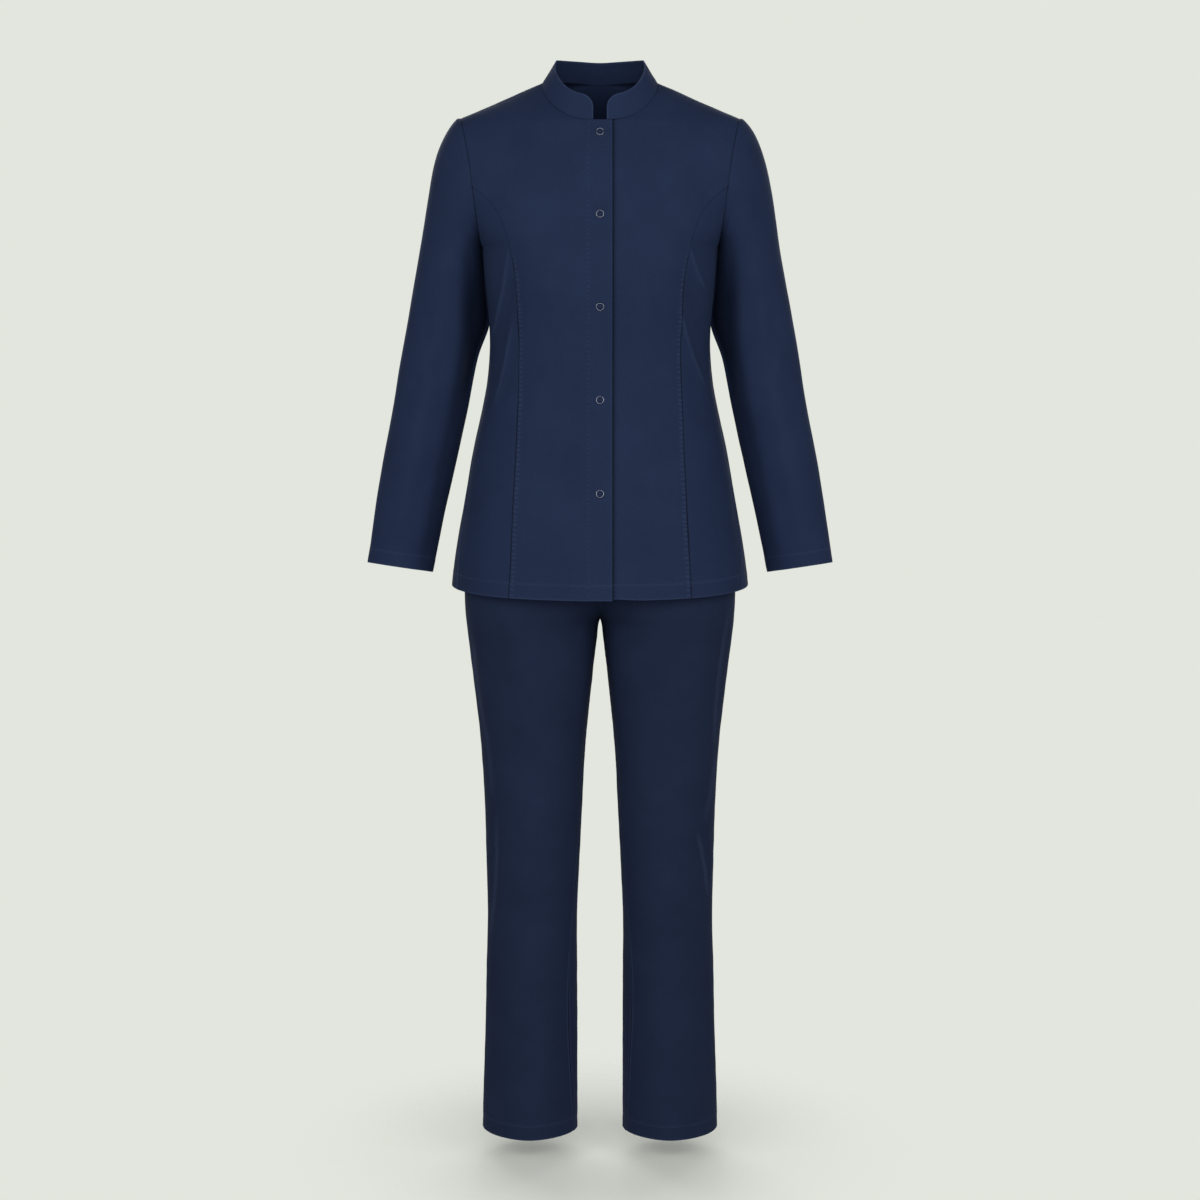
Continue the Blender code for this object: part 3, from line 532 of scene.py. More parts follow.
def peak(away, width, at=0.0):
    """1 at one distance, fading out over a width on both sides of it."""
    return np.exp(-((away - at) / width)**2)


# The tunic's body as rows, each at its own level: a height above the armpit and, over
# the armpit, degrees of the armhole

def level_of(angle):
    return (180.0 - angle) * RING_STEP


SHOULDER_LEVEL = level_of(0.0)
NECK_CORNER_LEVEL = level_of(NECK_CORNER_ANGLE)
NAPE_LEVEL = level_of(NAPE_ANGLE)
PRINCESS_TOP_LEVEL = level_of(PRINCESS_TOP_ANGLE)


def armhole(angle, depth):
    """A point on the armhole; depth is positive on the back, negative on the front."""
    turn = math.radians(angle)
    middle = (SHOULDER_TIP + ARMPIT) / 2
    reach = (SHOULDER_TIP - ARMPIT) / 2
    point = middle + reach * math.cos(turn)
    point[1] += depth * math.sin(turn)
    point[0] -= ARMHOLE_SCOOP * math.sin(turn)**2 * (1 + math.cos(turn)) / 2
    return point


def half_rows(facing, line, upper, start_x, fullness, reach, corner, middle_z, neck):
    """A function of a level that gives the controls of a half row, from the middle of the
    front or back to the side seam or armhole."""
    names = UPPER_COLUMNS[1:]

    def under_arm(level):
        height = ARMPIT_Z + level
        half = body_width("half_width", height)
        y = facing * line("depth", height)
        into = (fullness * (half - start_x), 0.0, 0.0)
        out = (0.0, FULL_SIDE * (y - SIDE_Y), 0.0)
        return np.array((start_x, y, height)), into, out, np.array((half, SIDE_Y, height))

    rows = [(level_of(angle), *handles) for angle, *handles in upper]
    for height, *_ in BODY_WIDTHS:
        _, into, out, _ = under_arm(height - ARMPIT_Z)
        rows.append((height - ARMPIT_Z, *into, *out))
    read = reader(("level", *names), rows)

    def row(level):
        into, out = [np.array([read(name, level) for name in part]) for part in (names[:3], names[3:])]
        if level <= 0.0:
            start, _, _, end = under_arm(level)
        else:
            end = armhole(180.0 - level / RING_STEP, reach)
            height = ARMPIT_Z + (middle_z - ARMPIT_Z) * level / corner
            start = np.array((start_x, facing * line("depth", height), height))
            if level > corner:
                start = bezier(neck, (level - corner) / (SHOULDER_LEVEL - corner))
        return start, start + into, end + out, end

    return row


front_row = half_rows(-1, front_line, FRONT_UPPER, PLACKET_HALF, FULL_FRONT, -ARMHOLE_FRONT,
                      NECK_CORNER_LEVEL, NECK_FRONT_Z, NECK_FRONT)
back_half = half_rows(1, back_line, BACK_UPPER, 0.0, FULL_BACK, ARMHOLE_BACK,
                      NAPE_LEVEL, NAPE_Z, NECK_BACK[::-1])


def back_row(level):
    """Controls of the back's row, from side or armhole to centre back or neckline."""
    return back_half(level)[::-1]


def folded(points, part, face, side_y):
    """The points moved out or in by the large folds near them, less so at the sides."""
    facing = -1.0 if face == "front" else 1.0
    clear = facing * smooth(np.abs(points[:, 1] - side_y) / FOLD_CLEAR)
    moved = points.copy()
    for x_1, z_1, x_2, z_2, width, height in FOLDS[part, face]:
        start = np.array((x_1, z_1))
        run = np.array((x_2, z_2)) - start
        here = points[:, (0, 2)] - start
        share = np.clip(here @ run / (run @ run), 0.0, 1.0)
        away = np.linalg.norm(here - share[:, None] * run, axis=1)
        moved[:, 1] += clear * height * peak(away, width)
    return moved


def evened(row, level, t, from_side):
    """A row averaged with its neighbours near the armpit's level, but not at its side."""
    here = bezier(row(level), t)
    if abs(level) >= ARMPIT_BLEND:
        return here
    share = (1.0 - smooth(abs(level) / ARMPIT_BLEND)) * smooth(from_side / EVENING_AT_SIDE)
    near = sum(part * bezier(row(level + step), t) for part, step in EVENING)
    return here + (near - here) * share[:, None]


def front_points(level, around):
    """Points of the front: around is 0 at the closing and 1 at the side."""
    around = np.asarray(around)
    return folded(evened(front_row, level, around, 1.0 - around), "body", "front", SIDE_Y)


def back_points(level, around):
    """Points of the back: from the side seam on the front, 1 the side, 2 centre back."""
    around = np.asarray(around)
    before = front_points(level, np.minimum(around, 1.0))
    beyond = np.maximum(around - 1.0, 0.0)
    after = folded(evened(back_row, level, beyond, beyond), "body", "back", SIDE_Y)
    return np.where(around[:, None] < 1.0, before, after)


def side_seam(level):
    return float(body_width("side_seam", ARMPIT_Z + min(level, 0.0)))


def princess_at(level):
    """Where round the body the princess seam crosses a row; 1 above its start."""
    if level >= PRINCESS_TOP_LEVEL:
        return 1.0
    around = np.linspace(0.0, 1.0, 801)
    line = bezier(front_row(level), around)
    beyond = line[:, 0] - princess("distance", line[:, 2])
    n = int(np.argmax(beyond >= 0.0))
    share = beyond[n - 1] / (beyond[n] - beyond[n - 1])
    return float(around[n - 1] - share * (around[n] - around[n - 1]))


# Grids of points: rows run round the garment and columns run along it

def seam_places(length, count, steps=SEAM_STEPS):
    """Distances along a line, close together at its two ends."""
    near = np.array(steps) * min(1.0, length / (2.6 * steps[-1]))
    inner = np.linspace(near[-1], length - near[-1], count + 1)
    return np.concatenate((near[:-1], inner, (length - near[:-1])[::-1]))


def row_between(curve, start, end, count):
    """Points of a curve between two places, close together at both ends."""
    t = np.linspace(start, end, CURVE_SAMPLES)
    line = curve(t)
    run = running_length(line)
    inset = SHELL_INSET * min(1.0, run[-1])
    want = np.clip(seam_places(run[-1], count), inset, run[-1] - inset)
    return curve(np.interp(want, run, t))


def rows_at(levels, points_at, span, count):
    """A grid with a row at each level, between the two places that span gives for it."""
    return np.array([row_between(lambda t, v=level: points_at(v, t), *span(level), count)
                     for level in levels])


def running_length(line):
    steps = np.linalg.norm(np.diff(line, axis=0), axis=1)
    return np.concatenate(([0.0], np.cumsum(steps)))


def on_side(points, left):
    """Points of the left half as they are, or mirrored for the right half."""
    return points * np.array((1.0 if left else -1.0, 1.0, 1.0))


def side_name(left):
    return "left" if left else "right"


def body_levels(top, exact=()):
    """Levels from the hem to a level, close together at both ends."""
    start = HEM_Z - ARMPIT_Z
    hem = start + np.array(HEM_STEPS)
    skirt = np.linspace(hem[-1], 0.0, round(-hem[-1] / BODY_GRID))
    chest = top - np.array(SEAM_STEPS[::-1])
    upper = np.linspace(0.0, chest[0], round(chest[0] / BODY_GRID))
    levels = np.concatenate((hem[:-1], skirt[:-1], upper[:-1], chest))
    for level in exact:
        levels[np.argmin(np.abs(levels - level))] = level
    return levels


def normals_of(rows):
    """Outward directions of a grid, from the run of its rows and columns."""
    normal = np.cross(np.gradient(rows, axis=1), np.gradient(rows, axis=0))
    return normal / np.maximum(np.linalg.norm(normal, axis=2, keepdims=True), 1e-9)


def distance_to(points, line):
    """How far each point is from a line of points, where the line is within reach of it."""
    flat = points.reshape(-1, 3)
    marks = np.vstack((line[::4], line[-1:]))
    rough = np.min([np.linalg.norm(flat - mark, axis=1) for mark in marks], axis=0)
    near = np.nonzero(rough < SEAM_REACH)[0]
    part = flat[near]
    best = np.full(len(part), OUT_OF_REACH)
    for a, b in zip(line[:-1], line[1:]):
        run = b - a
        size = run @ run
        if size > 0.0:
            share = np.clip((part - a) @ run / size, 0.0, 1.0)
            best = np.minimum(best, np.linalg.norm(part - a - share[:, None] * run, axis=1))
    away = np.full(len(flat), OUT_OF_REACH)
    away[near] = best
    return away.reshape(points.shape[:-1])


# Relief: what sewing, wearing and gravity do to the smooth form

def unevenness(points, size, seed):
    """A soft uneven rise and fall over the cloth, about -1 to 1, the same for one seed."""
    draw = np.random.default_rng(seed)
    total = np.zeros(points.shape[:-1])
    for _ in range(UNEVEN_WAVES):
        direction = draw.normal(size=3)
        direction /= np.linalg.norm(direction)
        wave = size * draw.uniform(0.6, 1.5)
        total += np.sin(points @ direction * (2 * math.pi / wave) + draw.uniform(0, 2 * math.pi))
    return total / 3.2


def seam_relief(away, deep=SEAM_DEEP):
    return -deep * peak(away, SEAM_ROLL)


def crevice(*seams):
    """1 in the line of a seam and 0 away from it."""
    return np.clip(sum(peak(away, CREVICE) for away in seams), 0.0, 1.0)


def hem_wear(low, edge):
    """Paler cloth at a hem's edge and where its turning ends: partly pressing wear, partly painted
    highlight.
    """
    return edge * peak(low, HEM_EDGE_PALER_WIDTH) + HEM_TURN_PALER * peak(low, HEM_TURN_PALER_WIDTH, HEM_TURN)


def stitch_relief(away, at, points, seed):
    """A pressed seam allowance that ends in a row of stitches, with small puckers."""
    flat = SEAM_ALLOWANCE_RISE * (1 - smooth((away - at) / 2.0)) * smooth(away / 2.0)
    pucker = PUCKER_RISE * unevenness(points, 9.0, seed) * peak(away, at * 0.8, at * 0.6)
    return flat - STITCH_SUNK * peak(away, STITCH_TROUGH, at) + pucker


def hem_relief(low, points, seed, turn=HEM_TURN):
    return stitch_relief(low, turn, points, seed) * HEM_FLATNESS


def above_waist(height):
    """0 on the skirt of the tunic and 1 on the side seam's flat part."""
    return smooth((height - SIDE_SEAM_FLAT_Z) / SIDE_SEAM_FADE)


def princess_depth(height):
    """How much the princess seam shows: less on the chest than below the bust."""
    return PRINCESS_FAINT + (1 - PRINCESS_FAINT) * smooth((PRINCESS_DEEPENS_Z - height) / PRINCESS_FADE)


def crease_relief(points, part, face):
    """Troughs with a low ridge along their outer side, fading at both ends, and ridges. The
    second result is 1 along the crest of a ridge, which is painted paler: partly pressing wear,
    partly painted highlight."""
    total = np.zeros(points.shape[:-1])
    crest = np.zeros(points.shape[:-1])
    for x_1, z_1, x_2, z_2, bow, width, depth in CREASES[part, face]:
        start = np.array((x_1, z_1))
        run = np.array((x_2, z_2)) - start
        length = np.linalg.norm(run)
        run = run / length
        side = np.array((-run[1], run[0]))
        here = points[..., (0, 2)] - start
        share = here @ run / length
        off = (here @ side - bow * np.sin(math.pi * np.clip(share, 0, 1))) / width
        ends = smooth((share + 0.15) / 0.4) * smooth((1.15 - share) / 0.4)
        across = 0.45 * peak(off, 1.0, 1.7) - peak(off, 1.0) + 0.25 * peak(off, 1.0, -1.9)
        total += ends * depth * across
        crest += ends * min(max(-depth, 0.0), 1.0) * peak(off, 0.35)
    return total, crest


def side_clear(points):
    """1 on the front and back and 0 along the side."""
    return smooth(np.abs(points[..., 1] - SIDE_Y) / SIDE_CLEAR)


# Meshes

def new_object(name, data, material=None):
    """An object with the data that stands in the scene."""
    item = bpy.data.objects.new(name, data)
    bpy.context.scene.collection.objects.link(item)
    if material:
        data.materials.append(material)
    return item


def cloth_shell(name, grids, material, wall=CLOTH):
    """A thin closed shell from grids of points in mm, joined where their edges meet."""
    points, faces, grain = [], [], []
    start = 0
    for grid in grids:
        rows = grid["points"]
        down, across = rows.shape[:2]
        points.append(rows.reshape(-1, 3))
        grain.append(grid["grain"].reshape(-1, 2))
        index = start + np.arange(down * across).reshape(down, across)
        quads = np.stack((index[:-1, :-1], index[:-1, 1:], index[1:, 1:], index[1:, :-1]), axis=-1)
        quads = quads.reshape(-1, 4)
        faces.append(quads[:, ::-1] if grid["turned"] else quads)
        start += down * across
    points, faces, grain = [np.concatenate(part) for part in (points, faces, grain)]
    data = bpy.data.meshes.new(name)
    data.from_pydata((points * MM).tolist(), [], faces.tolist())
    layer = data.uv_layers.new(name="grain")
    layer.data.foreach_set("uv", (grain[faces.reshape(-1)] * MM).reshape(-1))
    for mark in MARKS:
        values = np.concatenate([grid[mark].reshape(-1) for grid in grids])
        layer = data.attributes.new(mark, "FLOAT", "POINT")
        layer.data.foreach_set("value", np.clip(values, 0.0, 1.0).astype(np.float32))
    data.update()
    piece = new_object(name, data)
    weld = piece.modifiers.new("joined edges", "WELD")
    weld.merge_threshold = JOIN_NEARER * MM
    solid = piece.modifiers.new("cloth", "SOLIDIFY")
    solid.thickness = wall * MM
    solid.offset = -1.0
    solid.use_even_offset = False
    rounded = piece.modifiers.new("folded edge", "BEVEL")
    rounded.width = EDGE_ROUND * MM
    rounded.segments = 2
    rounded.limit_method = "ANGLE"
    rounded.angle_limit = math.radians(55)
    depsgraph = bpy.context.evaluated_depsgraph_get()
    piece.data = bpy.data.meshes.new_from_object(piece.evaluated_get(depsgraph))
    piece.modifiers.clear()
    bpy.data.meshes.remove(data)
    piece.data.shade_smooth()
    piece.data.materials.append(material)
    return piece


def weave(across, along):
    """Places across and along the twill, in mm. Each piece starts at its own place in it."""
    return np.stack(np.broadcast_arrays(across, along), axis=-1)


def grid_of(rows, turned, grain, **marks):
    """A grid for cloth_shell; turned faces look the other way."""
    grid = {mark: marks.get(mark, np.zeros(rows.shape[:2])) for mark in MARKS}
    grid.update(points=rows, grain=grain, turned=turned)
    return grid


def finished(piece, node):
    """The piece stands for its solid and moves with the set's one body."""
    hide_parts(node)
    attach(piece, BODY)
    return piece


def trim_piece(name, points, faces, material):
    """Stitches or a part of a snap, which move with the set's one body."""
    data = bpy.data.meshes.new(name)
    data.from_pydata(points, [], faces)
    data.shade_smooth()
    piece = new_object(name, data, material)
    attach(piece, BODY)
    return piece


# Stitches

class Thread:
    """Rows of stitches that are joined into one mesh."""

    def __init__(self):
        self.points = []
        self.faces = []

    def row(self, line, outward, left=True, kept=slice(None)):
        """Stitches along the kept part of a line on the cloth, with the cloth's directions."""
        line, outward = on_side(line[kept], left), on_side(outward[kept], left)
        run = running_length(line)
        at = STITCH_START
        while at + STITCH < run[-1] - STITCH_START:
            places = [at + STITCH * part for part in (0, 0.5, 1)]
            self.stitch(*[self.sample(line, outward, run, place) for place in places])
            at += STITCH + STITCH_SPACE

    def sample(self, line, outward, run, at):
        place, up = interpolated(at, run, line), interpolated(at, run, outward)
        return place, up / np.linalg.norm(up)

    def stitch(self, start, middle, end):
        """One stitch: a five-sided bead that dips into the cloth at both ends."""
        length = end[0] - start[0]
        up = middle[1]
        side = np.cross(length / np.linalg.norm(length), up)
        side /= np.linalg.norm(side)
        radius = THREAD / 2
        base = len(self.points)
        self.points.append(start[0] - up * radius)
        for share, rise in ((0.2, 0.25), (0.5, 0.5), (0.8, 0.25)):
            centre = start[0] + length * share + up * radius * rise
            for k in range(5):
                turn = 2 * math.pi * k / 5
                self.points.append(centre + (side * math.cos(turn) + up * math.sin(turn)) * radius)
        self.points.append(end[0] - up * radius)
        last = base + 16
        for k in range(5):
            n = (k + 1) % 5
            self.faces.append((base, base + 1 + n, base + 1 + k))
            for low in (base + 1, base + 6):
                self.faces.append((low + k, low + n, low + 5 + n, low + 5 + k))
            self.faces.append((last, base + 11 + k, base + 11 + n))

    def mesh(self, name, material, slot):
        trim_piece(name, [tuple(p * MM) for p in self.points], self.faces, material)


def interpolated(at, run, values):
    return np.array([np.interp(at, run, values[:, k]) for k in range(3)])


def line_in_rows(rows, outward, distance, from_end=False):
    """The line that runs along the grid at one distance from an end of its rows."""
    line, up = [], []
    for row, normal in zip(rows, outward):
        run = running_length(row)
        at = run[-1] - distance if from_end else distance
        line.append(interpolated(at, run, row))
        up.append(interpolated(at, run, normal))
    return np.array(line), np.array(up)


def line_in_columns(rows, outward, distance, from_end=False):
    return line_in_rows(rows.transpose(1, 0, 2), outward.transpose(1, 0, 2), distance, from_end)


# Tunic

def closing_layer(rows, top):
    """Parts the two fronts where they cross, the right one outside the left one."""
    moved = rows.copy()
    share = 1.0 - smooth((rows[..., 0] - PLACKET_HALF) / CLOSING_FADE)
    if top:
        moved[..., 1] -= TOP_LAYER_RISE * share
        return moved
    moved[..., 1] += UNDER_LAYER_DROP * share
    above_hem = np.clip((rows[..., 2] - HEM_Z) / CLOSING_FADE, 0.0, 1.0)
    moved[..., 2] += UNDER_HEM_LIFT * share * (1 - above_hem)
    return moved


def front_piece(left, material, thread):
    """One front: a part below the neck's corner with the strip of the closing, and a part
    beside the neck."""
    levels = body_levels(SHOULDER_LEVEL, (NECK_CORNER_LEVEL, PRINCESS_TOP_LEVEL))
    rows = rows_at(levels, front_points, lambda v: (0.0, princess_at(v)), FRONT_ACROSS)
    rows[:, 0] = [front_points(level, np.array([0.0]))[0] for level in levels]
    rows[-1] += (rows[-2] - rows[-1]) * RIDGE_DRAWN_BACK
    corner = int(np.argmin(np.abs(levels - NECK_CORNER_LEVEL)))
    strip = np.repeat(rows[:corner + 1, :1], len(STRIP_PLACES), axis=1)
    strip[..., 0] = STRIP_PLACES
    lines = (np.concatenate((strip[-1, :-1], rows[corner:, 0])),  # neckline
             rows[levels >= PRINCESS_TOP_LEVEL - 0.1][:, -1],  # armhole
             rows[levels <= PRINCESS_TOP_LEVEL + 0.1][:, -1],  # princess seam
             rows[-1],  # shoulder
             np.concatenate((strip[0, :-1], rows[0])))  # hem
    grids, layers = [], []
    for part in (np.concatenate((strip[:, :-1], rows[:corner + 1]), axis=1), rows[corner:]):
        out = normals_of(part)
        real = on_side(part, left)
        x, height = part[..., 0], part[..., 2]
        neck, arm, away, shoulder, low = [distance_to(part, line) for line in lines]
        depth = princess_depth(height)
        creased, crest = crease_relief(real, "body", "front")
        relief = sum(seam_relief(seam, SEAM_FLAT) for seam in (neck, arm, shoulder))
        relief += depth * (seam_relief(away) + stitch_relief(away, TOPSTITCH_IN, real, 11))
        relief += hem_relief(low, real, 12) + creased
        relief += 0.45 * unevenness(real, 120.0, 13) * smooth(low / 30) + 0.12 * unevenness(real, 34.0, 14)
        # Paler crease crests and hem edge, partly pressing wear and partly painted highlight, and painted
        # shade in the lines of the seams
        wear = 0.5 * crest + hem_wear(low, 0.5)
        dark = np.maximum(0.7 * depth * crevice(away), 0.55 * crevice(arm)) + 0.2 * crevice(neck)
        pucker = (depth - PRINCESS_FAINT) * np.exp(-((away - GATHERS_IN) / GATHERS_HALF)**4)
        if left:  # the trough and the shade beside the right front's edge
            # painted shade beside the right front's edge, with a relief trough under it
            under = x - PLACKET_HALF - 1.0
            relief -= 0.9 * peak(under, 3.6)
            dark += 0.5 * peak(under, 1.1) + 0.2 * peak(under, 4.5)
        else:  # the closing's folded edge, its stitches, the end of its lining and the snaps' dents
            closing = distance_to(part, strip[:, 0])
            placket = np.abs(x - PLACKET_STITCH_X)
            relief += 0.35 * peak(closing, 3.0) - 0.25 * peak(closing, 0.7)
            relief -= np.where(height < NECK_FRONT_Z + 4, 0.32 * peak(placket, 1.1), 0.0)
            relief += 0.1 * unevenness(real, 8.0, 15) * peak(placket, 5.0)
            relief -= 0.5 * peak(height, 2.5, LINING_END_Z) * smooth((PLACKET_HALF - x) / 6.0)
            for snap in SNAP_HEIGHTS:
                relief -= 0.25 * peak(np.hypot(x, height - snap), 3.0, SNAP_DENT)
            pucker += 0.55 * peak(placket, 1.2)
            # a faint painted highlight just inside the closing's folded edge
            wear += 0.1 * peak(closing, 1.2, 1.2)
        layered = closing_layer(part + out * relief[..., None], not left)
        layers.append((layered, out))
        grids.append(grid_of(on_side(layered, left), not left, weave(x, height),
                             wear=wear, seam=dark, pucker=pucker))
    layered, out = layers[0]
    thread.row(*line_in_rows(layered, out, TOPSTITCH_IN, from_end=True), left,
               levels[:corner + 1] <= PRINCESS_TOP_LEVEL - 6.0)
    thread.row(*line_in_columns(layered, out, HEM_TURN), left)
    line, up = line_in_columns(layered[:, ::-1], out[:, ::-1], NECK_STITCH_IN, from_end=True)
    thread.row(line, up, left, np.abs(line[:, 0]) <= PLACKET_HALF + 0.1)
    thread.row(*line_in_rows(*layers[1], NECK_STITCH_IN), left, slice(1, -4))
    if not left:
        column = STRIP_PLACES.index(PLACKET_STITCH_X)
        thread.row(layered[:, column], out[:, column], left)
        line, up = line_in_columns(layered[::-1], out[::-1], PLACKET_TOP_STITCH)
        thread.row(line, up, left, np.abs(line[:, 0]) <= PLACKET_HALF - 1.5)
    return cloth_shell(f"tunic_front_{side_name(left)}", grids, material)


def side_front_piece(left, material, thread):
    levels = body_levels(PRINCESS_TOP_LEVEL)[:-1]
    rows = rows_at(levels, front_points, lambda v: (princess_at(v), side_seam(v)), SIDE_ACROSS)
    out = normals_of(rows)
    real = on_side(rows, left)
    x, height = rows[..., 0], rows[..., 2]
    lines = rows[:, 0], rows[levels <= 0.1][:, -1], rows[levels >= -0.1][:, -1], rows[0]
    away, side, arm, low = [distance_to(rows, line) for line in lines]
    free = 1 - above_waist(height)
    depth = princess_depth(height)
    clear = side_clear(rows)
    creased, crest = crease_relief(real, "body", "front")
    relief = depth * seam_relief(away) + seam_relief(side, 0.5) * free + seam_relief(arm, SEAM_FLAT)
    relief += 0.9 * peak(side, 1.8, 3.0) * free + hem_relief(low, real, 22) + creased * clear
    relief += 0.4 * unevenness(real, 110.0, 13) * clear + 0.12 * unevenness(real, 34.0, 14)
    relief += 0.1 * unevenness(real, 8.0, 23) * peak(away, 5.0)
    # Paler crease crests, hem edge and a line beside the side seam, partly pressing wear and partly painted
    # highlight, and painted shade in the seam lines
    wear = 0.5 * crest + hem_wear(low, 0.5) + 1.6 * peak(side, 1.6, 2.8) * free
    dark = np.maximum(0.7 * depth * crevice(away), 0.55 * crevice(side, arm))
    moved = rows + out * relief[..., None]
    thread.row(*line_in_columns(moved, out, HEM_TURN), left)
    grid = grid_of(on_side(moved, left), not left, weave(x + 300, height), wear=wear, seam=dark)
    return cloth_shell(f"tunic_side_{side_name(left)}", [grid], material)


def with_dart(rows):
    """The back's grid with finer columns beside the one that lies along the dart, and that
    column's own number."""
    waist = rows[np.argmin(np.abs(rows[:, 0, 2] - DART_WAIST_Z))]
    k = int(np.argmin(np.abs(waist[:, 0] - DART_X)))
    before, line, after = rows[:, k - 1], rows[:, k], rows[:, k + 1]
    finer = [line + (side - line) * share
             for side, share in ((before, 0.45), (before, 0.15), (line, 0.0), (after, 0.15), (after, 0.45))]
    return np.concatenate((rows[:, :k], np.stack(finer, axis=1), rows[:, k + 1:]), axis=1), k + 2


def dart_ends(height, fade):
    return smooth((height - DART_END_Z) / fade) * smooth((DART_TOP_Z - height) / fade)


def back_piece(material, thread):
    """The back in one piece: the left half and its mirror image, joined at the centre."""
    levels = body_levels(SHOULDER_LEVEL, (NAPE_LEVEL,))
    rows = rows_at(levels, back_points, lambda v: (side_seam(v), 2.0), BACK_ACROSS)
    rows[levels <= NAPE_LEVEL + 0.1, -1, 0] = 0.0
    rows[-1] += (rows[-2] - rows[-1]) * RIDGE_DRAWN_BACK
    rows, dart_column = with_dart(rows)
    height = rows[..., 2]
    lines = (rows[:, dart_column], rows[levels >= -0.1][:, 0], rows[levels <= 0.1][:, 0],
             rows[levels >= NAPE_LEVEL - 0.1][:, -1], rows[-1], rows[0])
    dart, arm, side, neck, shoulder, low = [distance_to(rows, line) for line in lines]
    free = 1 - above_waist(height)
    clear = side_clear(rows)
    middle = smooth(np.abs(rows[..., 0]) / 25.0)
    above = levels >= NAPE_LEVEL + 4
    grids = []
    for left in (True, False):
        real, out = on_side(rows, left), on_side(normals_of(rows), left)
        relief = sum(seam_relief(seam, SEAM_FLAT) for seam in (arm, neck, shoulder))
        relief += seam_relief(side, 0.5) * free + hem_relief(low, real, 32)
        relief += crease_relief(real, "body", "back")[0] * clear
        relief -= dart_ends(height, 60.0) * (0.9 * peak(dart, 1.6) + 0.8 * peak(dart, 10.0))
        relief += 0.6 * unevenness(real, 130.0, 33) * clear + 0.12 * unevenness(real, 34.0, 34)
        relief = relief * middle + seam_relief(neck, SEAM_FLAT) * (1 - middle)
        # Paler hem edge and a line beside the side seam, partly pressing wear and partly painted highlight,
        # and painted shade in the seam lines and along the dart
        wear = hem_wear(low, 0.5) + 0.5 * peak(side, 1.4, 2.0)
        dark = 0.6 * crevice(arm, side) + 0.2 * crevice(neck)
        dark += 0.7 * dart_ends(height, 20.0) * crevice(dart)
        moved = real + out * relief[..., None]
        grids.append(grid_of(moved, not left, weave(real[..., 0] + 600, height), wear=wear, seam=dark))
        thread.row(*line_in_columns(moved, out, HEM_TURN))
        line, up = line_in_rows(moved[above], out[above], NECK_STITCH_IN, from_end=True)
        thread.row(line[:-4], up[:-4])
    return cloth_shell("tunic_back", grids, material)


def sleeve_point(along, angle):
    """Points of the left sleeve's ring; angle is 0 on top and 90 at the front."""
    turn = np.radians(angle)
    cosine, sine = np.cos(turn), np.sin(turn)
    mid_y = sleeve("mid_y", along)
    top = np.array((sleeve("top_x", along), 0.0, sleeve("top_z", along)))
    under = np.array((sleeve("under_x", along), 0.0, sleeve("under_z", along)))
    depth = np.where(sine > 0, sleeve("front", along), sleeve("back", along))
    points = (top + under) / 2 + (top - under) / 2 * cosine[:, None]
    points[:, 1] = mid_y - depth * sine
    points[:, 0] -= sleeve("scoop", along) * sine**2 * (1 + cosine) / 2
    points[:, 2] += sleeve("pitch", along) * sine
    front, back = [folded(points, "sleeve", face, mid_y) for face in ("front", "back")]
    return np.where(sine[:, None] > 0, front, back)


